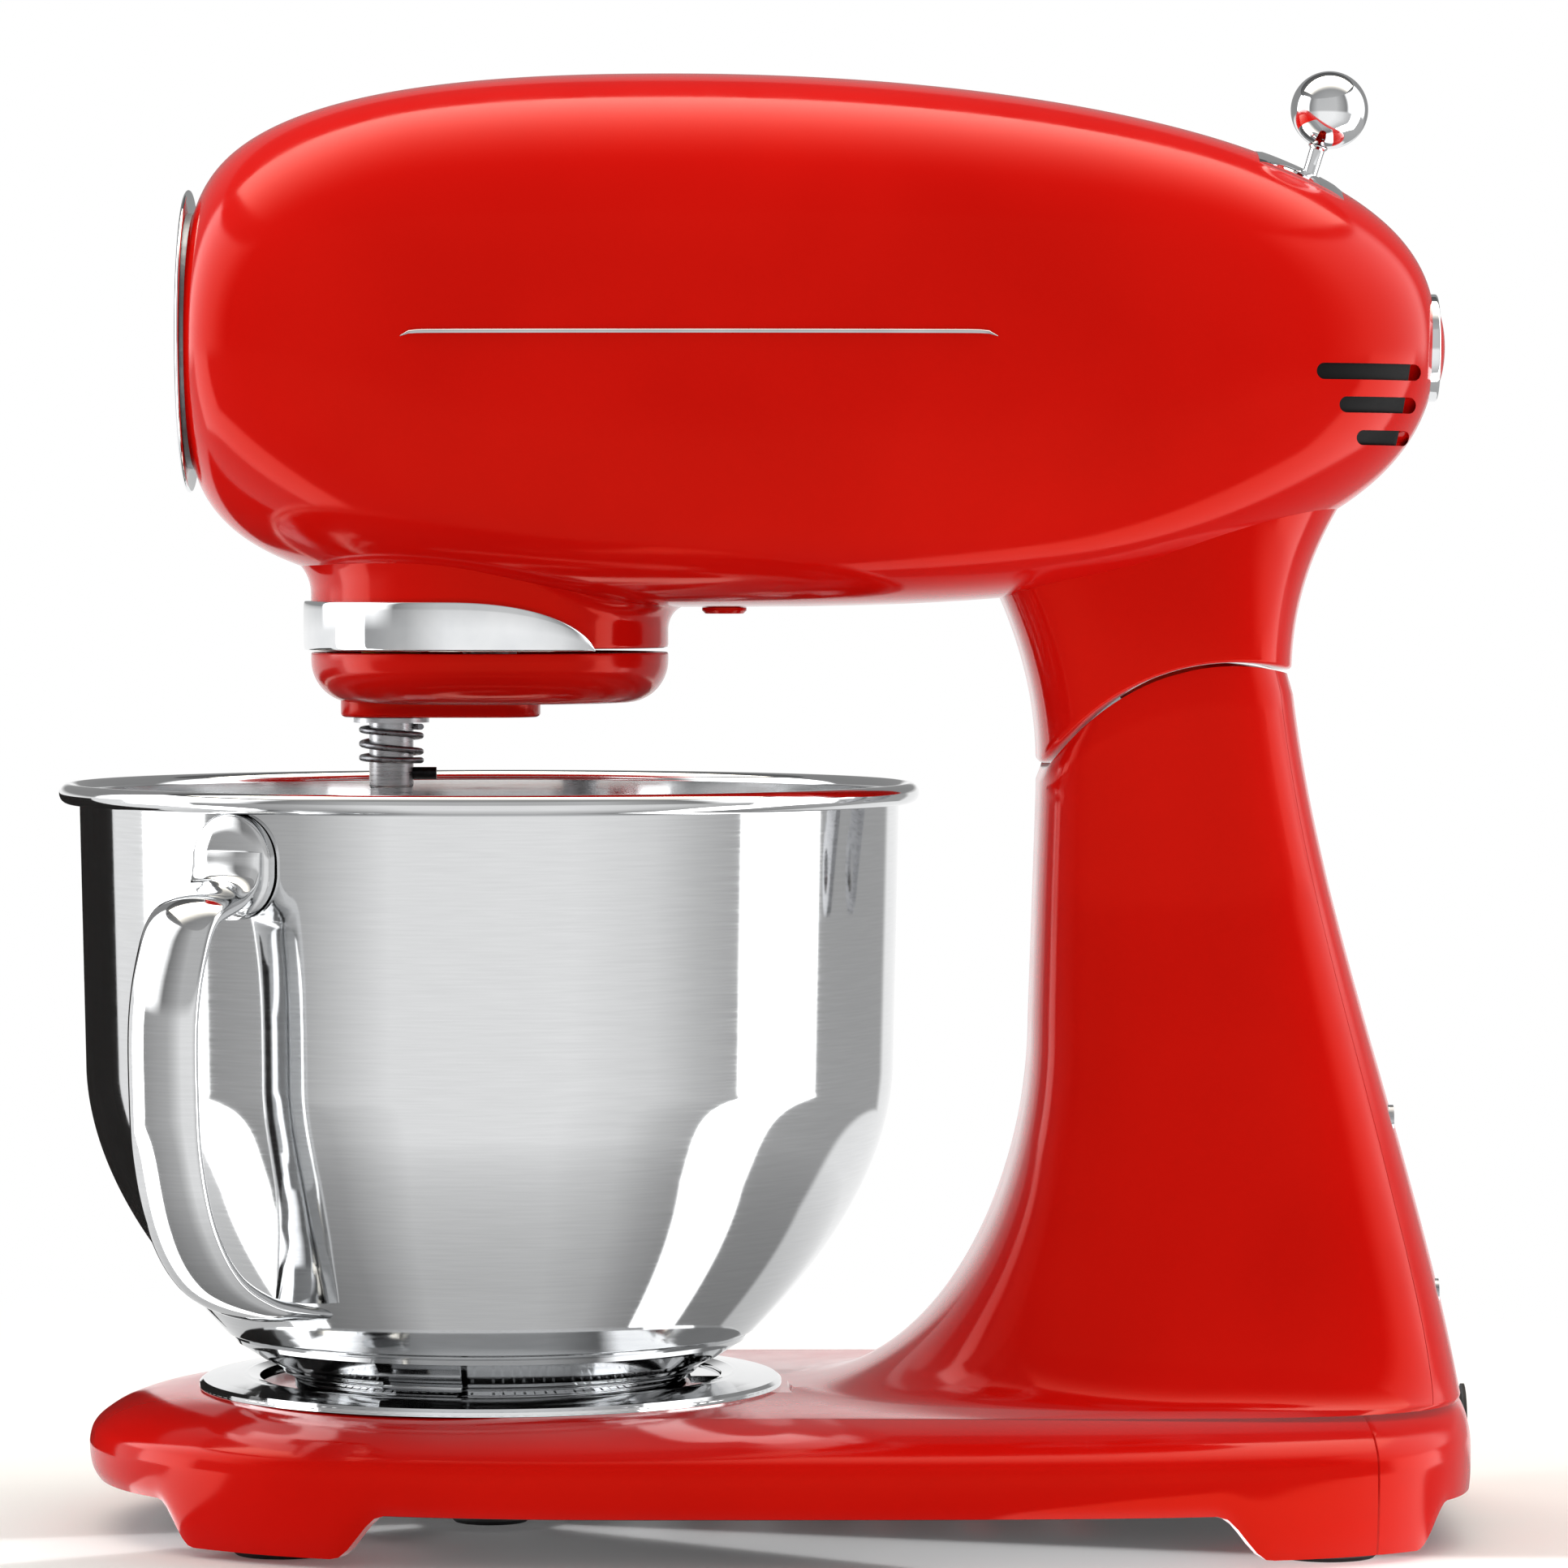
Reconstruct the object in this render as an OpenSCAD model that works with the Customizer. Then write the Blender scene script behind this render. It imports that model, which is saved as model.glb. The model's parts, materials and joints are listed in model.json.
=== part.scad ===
// Tilt-head stand mixer: a cast base and column, a head that tilts on a pin, a planetary drive
// and a steel bowl. Millimetres, +Z up. The origin is on the worktop, on the bowl's axis;
// the column is towards +X and the front of the machine towards -X.

/* [Head] */
// Height of the head's underside above the worktop
throat_h = 238; // [215:1:286]
// Drop from the head's widest line to its underside
head_low = 68; // [64:1:82]
// Rise from the head's widest line to its crown
head_crown = 69.6; // [62:0.1:84]
// Width of the head
head_w = 124; // [103:1:149]
// Reach of the head in front of the bowl's axis
head_front = 78; // [76:1:94]
// Reach of the head behind the bowl's axis
head_rear = 245; // [240:1:294]
// Place of the head's fullest section behind the bowl's axis
belly_x = 48; // [40:1:56]
// Wall of the cast shells
wall = 3.2; // [2.6:0.1:3.9]

/* [Base and column] */
// Reach of the base in front of the bowl's axis
base_front = 103.8; // [98:0.1:125]
// Reach of the base behind the bowl's axis
base_rear = 252.5; // [250:0.5:300]
// Width of the base
base_w = 204; // [170:1:245]
// Height of the flat under the bowl plate
deck_h = 36; // [33:1:43]
// Width of the column below the head
column_w = 78; // [74:1:94]
// Front of the column's waist behind the bowl's axis
column_x = 142; // [140:1:150]
// Height of the skirt's lower edge above the worktop
skirt_h = 13.7; // [11.5:0.1:16]

/* [Hinge] */
// Diameter of the head's hinge pin
pin_d = 12; // [10:0.1:14.4]
// Place of the hinge pin behind the bowl's axis
pivot_x = 191.4; // [190:0.1:194]
// Drop from the head's underside to the hinge pin
pivot_drop = 73.7; // [72:0.1:75]
// Radius of the round joint between the neck and the column
seam_r = 59.2; // [58:0.1:60]
// Gap between the neck and the column
seam_gap = 0.8; // [0.6:0.1:1]

/* [Planetary drive] */
// Diameter of the nose that holds the planetary drive
nose_d = 92.6; // [92:0.1:111]
// Module of the ring and planet gears
ring_module = 1.25; // [1.04:0.01:1.25]
// Teeth of the fixed ring gear
ring_teeth = 59;
// Teeth of the planet gear
planet_teeth = 18;
// Diameter of the attachment shaft
shaft_d = 11.5; // [9.5:0.1:13.8]
// Length of the attachment shaft below the cap's boss
shaft_drop = 44; // [37:1:53]

/* [Motor drive] */
// Module of the spur gears
spur_module = 1.5; // [1.4:0.05:1.6]
// Teeth of the gear on the main shaft
main_teeth = 45;
// Teeth of the small gear on the layshaft
lay_teeth = 15;
// Teeth of the bevel gear on the layshaft
bevel_teeth = 30;
// Teeth of the bevel pinion on the motor shaft
pinion_teeth = 12;
// Diameter of the motor's field core
motor_d = 74; // [62:1:76]
// Length of the motor's field core
motor_len = 44; // [37:1:53]

/* [Bowl] */
// Diameter over the bowl's rolled rim
bowl_d = 222.8; // [186:0.1:245]
// Height of the bowl's rim above the worktop
rim_h = 192.5; // [165:0.5:200]
// Thickness of the bowl's sheet
bowl_sheet = 1.2; // [1:0.1:1.5]
// Diameter of the plate that the bowl locks to
plate_d = 151.2; // [145:0.1:160]
// Width of the handle's strap
strap_w = 21; // [17.5:0.5:25]
// Thickness of the handle's strap
strap_t = 8.5; // [7:0.5:10.2]

/* [Controls] */
// Diameter of the speed lever's ball
ball_d = 20; // [16:0.5:24]
// Diameter of the head release button
button_d = 27; // [22.5:0.5:32]
// Diameter of the bore for accessories at the front of the head
hub_bore_d = 26; // [21.6:0.1:31.2]
// Diameter of the mains lead that the gland takes
cord_d = 7.6; // [6.3:0.1:9.1]

/* [Hidden] */
$fn = 64;
eps = 0.01;
// Radial clearance of a shaft in its bearing
run_gap = 0.04;
// Play between parts that only lie beside each other
lie_gap = 0.3;

head_mid = throat_h + head_low;
head_ringn = 36;
head_steps = 22;
hub_z = head_mid + 0.7;
hub_r = 34;

pivot_z = throat_h - pivot_drop;
pin_r = pin_d / 2;
foot_h = 2.4;
deck_r = plate_d / 2 + 1;
plate_bore_r = 62.4;

nose_r = nose_d / 2;
nose_z = throat_h - 10.6;
nose_wall = 4.4;
nose_in = nose_r - nose_wall;
band_h = 12.7;
cap_top = nose_z - 1.1;
cap_h = 13.1;
cap_bot = cap_top - cap_h;
boss_h = 3.8;
boss_z = cap_bot - boss_h;
boss_r = 13.1;

ring_r = ring_teeth * ring_module / 2;
planet_r = planet_teeth * ring_module / 2;
planet_x = -(ring_r - planet_r);
ring_z = nose_z + 4;
ring_h = 8;
web_z = nose_z + 16.6;
web_h = 6;
shaft_r = shaft_d / 2;
main_r = 7;

lay_x = spur_module * (main_teeth + lay_teeth) / 2;
lay_r = 5;
spur_h = 8;
plate_z = throat_h + 24;
plate_h = 5;
plate_half = head_w / 2 - 30;
spur_z = plate_z + plate_h + 2;
bevel_module = 2;
bevel_r = bevel_teeth * bevel_module / 2;
pinion_r = pinion_teeth * bevel_module / 2;
bevel_cone = atan(bevel_teeth / pinion_teeth);
bevel_rho = norm([bevel_r, pinion_r]);
bevel_face = 9;
rotor_r = 4;
front_bearing_x = lay_x + bevel_r + 14;
motor_x = front_bearing_x + 16;
rear_bearing_x = motor_x + motor_len + 22;
fan_x = rear_bearing_x + 9;
bearing_w = 7;

bowl_r = bowl_d / 2;
roll_r = 2.6;
wall_r = bowl_r - 2 * roll_r;
bowl_foot_z = 50;
bowl_foot_r = 66.6;
knee_h = 120;
handle_turn = 236;
button_z = head_mid - 1;
lever_x = head_rear - 36;
lever_lean = 17;

// ---------- Curves ----------

// Falls from 1 to 0 as u goes from 0 to 1, along a superellipse with powers p and q
function fall(u, p, q) = pow(max(0, 1 - pow(min(1, abs(u)), p)), 1 / q);
// Rises from 0 to 1 with level ends
function ease(t) = let(k = min(1, max(0, t))) k * k * (3 - 2 * k);
function mix(a, b, t) = a + (b - a) * t;
// A coordinate of a superellipse, keeping its sign
function lobe(c, n) = sign(c) * pow(abs(c), 2 / n);

// ---------- Surfaces made of rings of points ----------

function flat(rows) = [for (row = rows) each row];
// Two triangles for each cell of a grid of rows and columns
function cells(rows, cols, wrap_rows, wrap_cols) = [
    for (i = [0 : rows - (wrap_rows ? 1 : 2)], j = [0 : cols - (wrap_cols ? 1 : 2)])
        let(a = i * cols + j, b = i * cols + (j + 1) % cols,
            c = ((i + 1) % rows) * cols + (j + 1) % cols, d = ((i + 1) % rows) * cols + j)
        each [[a, c, b], [a, d, c]]
];
// A solid from stacked rings, closed by a fan at each end
module loft(rings) {
    n = len(rings[0]);
    m = len(rings);
    ends = [for (ring = [rings[0], rings[m - 1]]) [for (k = [0 : 2]) sum_of(ring, k) / n]];
    low = n * m;
    polyhedron(concat(flat(rings), ends), concat(
        cells(m, n, false, true),
        [for (j = [0 : n - 1]) [j, (j + 1) % n, low]],
        [for (j = [0 : n - 1]) [(m - 1) * n + (j + 1) % n, (m - 1) * n + j, low + 1]]
    ), convexity = 6);
}
function sum_of(ring, k) = [for (p = ring) p[k]] * [for (p = ring) 1];
// A wall between outer and inner rings, open at both ends, all the way round
module tube_wall(outer, inner) {
    rows = concat(outer, [for (i = [len(inner) - 1 : -1 : 0]) inner[i]]);
    polyhedron(flat(rows), cells(len(rows), len(rows[0]), true, true), convexity = 8);
}
// The same wall over part of the way round, closed along its two sides
module strip_wall(outer, inner) {
    m = len(outer);
    rows = concat(outer, [for (i = [m - 1 : -1 : 0]) inner[i]]);
    n = len(rows[0]);
    polyhedron(flat(rows), concat(
        cells(2 * m, n, true, false),
        [for (i = [0 : m - 2]) let(a = i * n, b = (i + 1) * n,
            c = (2 * m - 2 - i) * n, d = (2 * m - 1 - i) * n) each [[a, c, b], [a, d, c]]],
        [for (i = [0 : m - 2]) let(a = i * n + n - 1, b = (i + 1) * n + n - 1,
            c = (2 * m - 2 - i) * n + n - 1, d = (2 * m - 1 - i) * n + n - 1)
            each [[a, b, c], [a, c, d]]]
    ), convexity = 8);
}
// A round wire along a path of points, with the path's direction at each point
module wire(path, r, sides = 8) {
    m = len(path);
    loft([for (i = [0 : m - 1])
        let(t = unit(path[min(i + 1, m - 1)] - path[max(i - 1, 0)]),
            u = unit(cross(abs(t[2]) > 0.9 ? [1, 0, 0] : [0, 0, 1], t)), v = cross(t, u))
        [for (j = [0 : sides - 1]) path[i] + r * (u * cos(360 * j / sides) + v * sin(360 * j / sides))]]);
}
function unit(v) = v / norm(v);
// A coil spring about Z with closed ends, from z0 to z1
function coil(r, z0, z1, turns, per_turn = 14) = [
    for (i = [0 : turns * per_turn])
        let(a = 360 * i / per_turn, t = i / (turns * per_turn),
            s = (ease((t - 0.06) / 0.88) + (t - 0.5) * 0.5 + 0.25) / 1.5)
        [r * cos(a), r * sin(a), mix(z0, z1, s)]
];

// ---------- The head's form ----------

// x, half width, drop and rise of the head's section at s (0 front, 1 rear), k inside the surface
function head_section(s, k) =
    let(fore = s < 0.5, t = fore ? 180 * s : 180 * (1 - s), u = pow(cos(t), fore ? 2 / 2.4 : 1))
    [fore ? belly_x - (belly_x + head_front - k) * u : belly_x + (head_rear - k - belly_x) * u,
     (head_w / 2 - k) * (fore ? fall(u, 2.4, 6.67) : fall(u, 2.2, 2.6)),
     (head_low - k) * (fore ? fall(u, 2.4, 4.5) : fall(u, 3, 2.33)),
     (head_crown - k) * (fore ? fall(u, 2.4, 4.5) : fall(u, 2, 2.56))];
// How square the section is above and below its widest line: round at both ends of the head
function power_above(x) = mix(mix(2, 2.5, ease((x + head_front) / 60)), 2, ease((x - head_rear + 60) / 60));
function power_below(x) = mix(mix(2, 4.2, ease((x + head_front) / 110)), 2, ease((x - head_rear + 95) / 95));
function head_ring(s, k) =
    let(q = head_section(s, k))
    [for (j = [0 : head_ringn - 1]) let(a = 360 * j / head_ringn, low = sin(a) < 0,
            n = low ? power_below(q[0]) : power_above(q[0]))
        [q[0], q[1] * lobe(cos(a), n), head_mid + lobe(sin(a), n) * (low ? q[2] : q[3])]];
// Station where the front of the head is as wide as the hub's flange
head_s0 = 0.066;
head_s1 = 0.955;
function head_rings(k) = [for (i = [0 : head_steps]) head_ring(mix(head_s0, head_s1, i / head_steps), k)];
// Half width, drop and rise of the head at a given x
function head_at(x) =
    let(fore = x < belly_x, u = fore ? (belly_x - x) / (belly_x + head_front)
                                     : (x - belly_x) / (head_rear - belly_x))
    [head_w / 2 * (fore ? fall(u, 2.4, 6.67) : fall(u, 2.2, 2.6)),
     head_low * (fore ? fall(u, 2.4, 4.5) : fall(u, 3, 2.33)),
     head_crown * (fore ? fall(u, 2.4, 4.5) : fall(u, 2, 2.56))];

// ---------- The stand's form ----------

// Foot of the column's hollow front, just behind the bowl plate
throat_x = deck_r + 0.6;
throat_rise = 94;
column_top = pivot_z + seam_r + 2;
// Front, rear and half width of the stand at height z above the deck
function column_front(z) =
    let(v = (z - deck_h - 1) / throat_rise)
    v < 1 ? throat_x + (column_x - 2 - throat_x) * sqrt(max(0, 1 - pow(1 - max(0, v), 2)))
          : mix(column_x - 2, column_x, min(1, (z - deck_h - 1 - throat_rise) / 60));
function column_rear(z) =
    let(t = (z - 20) / (column_top - 28)) base_rear - 45 * mix(min(1, t), ease(t), 0.5);
function column_half(z) =
    let(t = (z - deck_h) / (pivot_z - deck_h))
    mix(base_w / 2 - 24, column_w / 2, pow(max(0, min(1, t)), 0.36));
// Place of the column's widest line
function column_mid(z) = mix(column_front(z), column_rear(z), 0.55);
// Place of the column's rear face at height z, a share of the half width away from the middle
function rear_face(z, share) = column_mid(z) + (column_rear(z) - column_mid(z)) * fall(share, 3.6, 3.6);
// Height, front, rear, half width and widest place of the stand's outlines, from the skirt up
function slab_row(z, back) = [z, -base_front + back, base_rear - back / 8, base_w / 2 - back, 40];
function stand_rows() = concat(
    [slab_row(skirt_h, 2.5), slab_row(skirt_h + 5, 0.4), slab_row(skirt_h + 11, 0),
     slab_row(skirt_h + 15, 1.8), slab_row(deck_h - 3.4, 9.5), slab_row(deck_h - 1, 19)],
    [[deck_h, -deck_r, base_rear - 2.4, base_w / 2 - 23, 44]],
    [[deck_h + 0.05, throat_x, base_rear - 2.6, base_w / 2 - 23.5, 130]],
    [for (z = [deck_h + 3, deck_h + 8, deck_h + 15, deck_h + 25, deck_h + 40, deck_h + 58,
        deck_h + 80, deck_h + 110, pivot_z, pivot_z + 30, column_top])
        [z, column_front(z), column_rear(z), column_half(z),
         column_mid(z)]]
);
function stand_point(row, a, k) =
    let(fore = cos(a) < 0, flare = ease((row[0] - deck_h) / 60),
        n = fore ? mix(2.3, 2.7, flare) : mix(4, 3.4, flare))
    [row[4] + lobe(cos(a), n) * (fore ? row[4] - row[1] - k : row[2] - row[4] - k),
     lobe(sin(a), n) * (row[3] - k), row[0]];
cover_turn = 41;
function stand_ring(row, k, a0, a1, n) =
    [for (j = [0 : n]) stand_point(row, mix(a0, a1, j / n), k)];
// Above the deck the inner wall keeps its distance sideways; on the deck it drops below it
function inner_row(row) = [row[0] - (row[0] > skirt_h + 12 && row[0] < deck_h + 6 ? wall : 0),
    row[1], row[2], row[3], row[4]];
module stand_wall(a0, a1, n) {
    rows = stand_rows();
    strip_wall([for (row = rows) stand_ring(row, 0, a0, a1, n)],
               [for (row = rows) stand_ring(inner_row(row), wall, a0, a1, n)]);
}
module stand_solid(k, z0) {
    rows = [for (row = stand_rows()) if (row[0] >= z0) row];
    loft([for (row = rows) [for (j = [0 : 47]) stand_point(row, 7.5 * j, k)]]);
}
// The round joint between the neck and the column
module seam_drum(r) {
    translate([pivot_x, 0, pivot_z]) rotate([90, 0, 0])
        cylinder(h = 3 * column_w, r = r, center = true, $fn = 128);
}

// ---------- Small repeated shapes ----------

// A round pan-head screw standing on z = 0, its shank below
module screw(d, len, head_share = 0.6) {
    head_r = 0.95 * d;
    head_h = head_share * d;
    difference() {
        cylinder(h = head_h, r = head_r);
        for (a = [0, 90])
            rotate(a) translate([0, 0, head_h / 2])
                cube([0.25 * d, 1.2 * d, head_h + 0.1 * d], center = true);
    }
    translate([0, 0, -len]) cylinder(h = len + eps, r = d / 2);
}
module ring(r_out, r_in, h) {
    difference() {
        cylinder(h = h, r = r_out);
        translate([0, 0, -1]) cylinder(h = h + 2, r = r_in);
    }
}
// Turns a shape about Z into one that lies along +X
module along_x(x, z) {
    translate([x, 0, z]) rotate([0, 90, 0]) children();
}

// Involute angle at radius r for base radius rb, in degrees
function involute(r, rb) = r <= rb ? 0 : r * sqrt(1 - pow(rb / r, 2)) / rb * 180 / PI - acos(rb / r);
// Outline of n teeth with a tooth centred on angle 0; slack thins each tooth along the pitch circle
function teeth_outline(n, mod, root, tip, slack) =
    let(rp = n * mod / 2, rb = rp * cos(20),
        half = 90 / n - slack / rp * 90 / PI + involute(rp, rb),
        radii = [root, max(root, rb) + 0.05, (max(root, rb) + tip) / 2, tip])
    [for (i = [0 : n - 1], k = [0 : 7])
        let(r = radii[k < 4 ? k : 7 - k], side = k < 4 ? -1 : 1,
            a = 360 * i / n + side * (half - involute(r, rb)))
        [r * cos(a), r * sin(a)]];
addendum = 0.85;
dedendum = 1.15;
tooth_slack = 0.16;
module spur(n, mod, h) {
    rp = n * mod / 2;
    linear_extrude(h) polygon(teeth_outline(n, mod, rp - dedendum * mod, rp + addendum * mod, tooth_slack));
}
// A bevel gear about Z with its pitch apex at the origin, teeth pointing up towards the apex
module bevel(n, cone, tooth) {
    half = 90 / n;
    rings = [for (rho = [bevel_rho - bevel_face, bevel_rho])
        [for (i = [0 : n - 1], k = [0 : 3])
            let(a = 360 * i / n + half * [-1.3, -0.42, 0.42, 1.3][k],
                d = cone + tooth * [-1.2, 0.8, 0.8, -1.2][k])
            [rho * sin(d) * cos(a), rho * sin(d) * sin(a), -rho * cos(d)]]];
    loft([rings[1], rings[0]]);
}

// ---------- Stand ----------

foot_x = [-base_front + 54, base_rear - 40];
foot_y = [base_w / 2 - 42, base_w / 2 - 37];
// Places round the sole where the feet stand, as centre and side
foot_spots = [for (i = [0, 1], side = [-1, 1]) [foot_x[i], side * foot_y[i]]];
shelf_z = pivot_z - 42;
shelf_h = 5;
module base_casting() color("#C8140F") {
    difference() {
        union() {
            stand_wall(cover_turn + 0.5, 359.5 - cover_turn, 36);
            // Feet grow down from the skirt, and tie into its wall in front of the rear cover
            intersection() {
                union() {
                    foot_block(foot_h, skirt_h - 0.4, 4.4, 2.7);
                    intersection() {
                        foot_block(skirt_h - 2, skirt_h + 3, 3.9, 3.2);
                        translate([-300 + base_rear - 34, -150, 0]) cube([300, 300, 40]);
                    }
                }
                for (spot = foot_spots)
                    hull() {
                        translate([spot[0], spot[1], foot_h]) cylinder(h = 0.5, r = 21, $fn = 32);
                        translate([spot[0] * 1.04, spot[1] * 1.3, foot_h])
                            cylinder(h = 0.5, r = 21, $fn = 32);
                        translate([spot[0] * 1.04, spot[1] * 1.1, skirt_h + 6])
                            cylinder(h = 0.5, r = 32, $fn = 32);
                    }
            }
            // Shelf across the column for the hinge frame
            intersection() {
                stand_solid(wall / 2, shelf_z - 20);
                translate([0, 0, shelf_z])
                    cube([2 * (base_rear - 48), column_w * 2, 2 * shelf_h], center = true);
            }
            // Bosses for the rear cover's screws
            for (spot = cover_screws())
                hull() {
                    translate([spot[0] - boss_back - 9, spot[1], spot[2]]) rotate([0, 90, 0])
                        cylinder(h = 9, r = 5, $fn = 24);
                    translate([spot[0] - boss_back - 22, spot[1] * 1.9, spot[2]]) rotate([0, 90, 0])
                        cylinder(h = 4, r = 4, $fn = 24);
                }
        }
        // Opening under the bowl plate and the round top of the column
        translate([0, 0, deck_h - 20]) cylinder(h = 40, r = plate_bore_r);
        difference() {
            translate([pivot_x - 80, -column_w, pivot_z]) cube([160, 2 * column_w, 100]);
            seam_drum(seam_r - seam_gap / 2);
        }
        for (spot = cover_screws())
            translate([spot[0] - 20, spot[1], spot[2]]) rotate([0, 90, 0])
                cylinder(h = 40, r = cover_hole_r, $fn = 24);
        for (x = frame_x, y = [-frame_y, frame_y])
            translate([x, y, shelf_z - 10]) cylinder(h = 20, r = 2.45, $fn = 24);
    }
}
// The skirt's outline filled in between two heights, set in by b0 and b1
module foot_block(z0, z1, b0, b1) {
    loft([for (end = [[z0, b0], [z1, b1]])
        [for (j = [0 : 47])
            let(q = stand_point(slab_row(skirt_h, end[1]), 7.5 * j, 0)) [q[0], q[1], end[0]]]]);
}
// Screws of the rear cover, a share of the half width off the middle, in counterbores
screw_share = 0.45;
counter_depth = 1.4;
boss_back = wall + 2.4;
cover_hole_r = 2.45;
function cover_screws() = [for (z = [62, shelf_z - 16], side = [-1, 1])
    [rear_face(z, screw_share), side * column_half(z) * screw_share, z]];
module rear_cover() color("#C8140F") {
    difference() {
        stand_wall(-cover_turn, cover_turn, 12);
        difference() {
            translate([pivot_x - 80, -column_w, pivot_z]) cube([160, 2 * column_w, 100]);
            seam_drum(seam_r - seam_gap / 2);
        }
        for (spot = cover_screws()) translate(spot) rotate([0, 90, 0]) {
            translate([0, 0, -20]) cylinder(h = 40, r = cover_hole_r, $fn = 24);
            translate([0, 0, -counter_depth]) cylinder(h = 10, r = 4.6, $fn = 24);
        }
        translate([base_rear - 30, 0, gland_z]) rotate([0, 90, 0]) cylinder(h = 60, r = gland_r);
    }
}
module rear_cover_screws() color("silver")
    for (spot = cover_screws())
        translate([spot[0] - counter_depth, spot[1], spot[2]]) rotate([0, 90, 0]) screw(4, 12, 0.35);
gland_z = 26;
gland_r = cord_d / 2 + 3.6;
gland_len = 16;
gland_out = 0.8;
module cord_gland() color("#202020")
    translate([base_rear + gland_out - gland_len, 0, gland_z]) rotate([0, 90, 0]) difference() {
        union() {
            cylinder(h = gland_len, r = gland_r);
            translate([0, 0, gland_len - gland_out]) cylinder(h = gland_out, r = gland_r + 2.4);
            cylinder(h = 6, r = gland_r + 2);
        }
        translate([0, 0, -1]) cylinder(h = gland_len + 2, r = cord_d / 2);
    }
module underside_plate() color("#3A3A3C") {
    difference() {
        intersection() {
            translate([0, 0, skirt_h - 1]) linear_extrude(2) offset(delta = -wall - 3)
                polygon([for (j = [0 : 47])
                    let(p = stand_point(slab_row(skirt_h, 2.5), 7.5 * j, 0)) [p[0], p[1]]]);
            translate([-200, -200, 0]) cube([200 + base_rear - 8, 400, 60]);
        }
        for (spot = foot_spots)
            translate([spot[0] * 1.02, spot[1] * 1.1, 0]) cylinder(h = 60, r = 34);
        for (x = [40 : 22 : 150]) translate([x, 0, skirt_h]) cube([8, 60, 10], center = true);
    }
    // Post for the middle foot
    translate([0, 0, foot_h]) cylinder(h = skirt_h - foot_h, r1 = 11, r2 = 15);
}
module foot_pads() color("#1C1C1C") {
    for (spot = foot_spots)
        translate([spot[0], spot[1], 0])
            rotate_extrude() polygon([[0, 0], [12, 0], [13, 1], [13, foot_h], [0, foot_h]]);
    rotate_extrude() polygon([[0, 0], [9.4, 0], [10.4, 1], [10.4, foot_h], [0, foot_h]]);
}
plate_t = 2;
seat_r = 57;
module bowl_plate() color("#D8DADC") {
    difference() {
        rotate_extrude() polygon([
            [plate_d / 2, deck_h + 0.1], [plate_d / 2, deck_h + 1.2], [plate_d / 2 - 1, deck_h + 2],
            [seat_r + 6, deck_h + 3.4], [seat_r + 3, deck_h + 2.6], [seat_r + 2.6, deck_h - 6],
            [0, deck_h - 6], [0, deck_h - 8], [seat_r + 2.8, deck_h - 8], [seat_r + 4.8, deck_h - 6],
            [seat_r + 4.8, deck_h + 0.1]]);
        for (a = [0, 90, 180, 270]) rotate(a + 45) translate([40, 0, deck_h - 9]) cylinder(h = 4, r = 2.4);
    }
    // Three hooks that the bowl's tabs turn under
    for (a = hook_angles) rotate(a)
        rotate_extrude(angle = 24) polygon([
            [seat_r - 5, deck_h - 0.2], [seat_r + 2.7, deck_h - 0.2],
            [seat_r + 2.7, deck_h + 1.8], [seat_r - 5, deck_h + 1.8]]);
}
hook_angles = [0, 120, 240];
module bowl_plate_screws() color("silver")
    for (a = [0, 90, 180, 270]) rotate(a + 45) translate([40, 0, deck_h - 5.9]) screw(4.6, 12);
ear_t = 5;
ear_y = 29;
frame_x = [pivot_x - 26, pivot_x + 12];
frame_y = 12;
module hinge_frame() color("#8A8C90")
    difference() {
        union() {
            translate([pivot_x - 34, -ear_y, shelf_z + shelf_h]) cube([54, 2 * ear_y, 4]);
            for (side = [-1, 1]) translate([0, side * (ear_y - ear_t / 2), 0]) rotate([90, 0, 0])
                linear_extrude(ear_t, center = true) difference() {
                    union() {
                        translate([pivot_x, pivot_z]) circle(15);
                        polygon([[pivot_x - 30, shelf_z + shelf_h + 1], [pivot_x + 18, shelf_z + shelf_h + 1],
                                 [pivot_x + 15, pivot_z], [pivot_x - 15, pivot_z]]);
                    }
                    translate([pivot_x, pivot_z]) circle(pin_r + 2.5);
                }
        }
        for (x = frame_x, y = [-frame_y, frame_y])
            translate([x, y, shelf_z]) cylinder(h = 30, r = 2.2);
    }
module hinge_frame_screws() color("silver")
    for (x = frame_x, y = [-frame_y, frame_y])
        translate([x, y, shelf_z + shelf_h + 4]) screw(4.4, 14);
module hinge_bushes() color("#B08A48")
    for (side = [-1, 1]) translate([pivot_x, side * (ear_y - ear_t / 2), pivot_z]) rotate([90, 0, 0])
        translate([0, 0, -ear_t / 2]) ring(pin_r + 2.5, pin_r, ear_t);
module hinge_pin() color("silver")
    translate([pivot_x, 0, pivot_z]) rotate([90, 0, 0]) difference() {
        cylinder(h = 2 * ear_y + 4, r = pin_r, center = true);
        for (side = [-1, 1]) translate([0, 0, side * (ear_y + 1)]) ring(pin_r + 1, pin_r - 1, 0.8);
    }
lug_y = 18;
lug_t = 5;
// Directions of the lug's two edges from the pin, and of the ends of the slots it swings in
lug_turn = [120, 134];
tilt_max = 40;
slot_turn = [lug_turn[0] - tilt_max - 1, lug_turn[1] + 2];
shroud_half = lug_y + 5;
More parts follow.
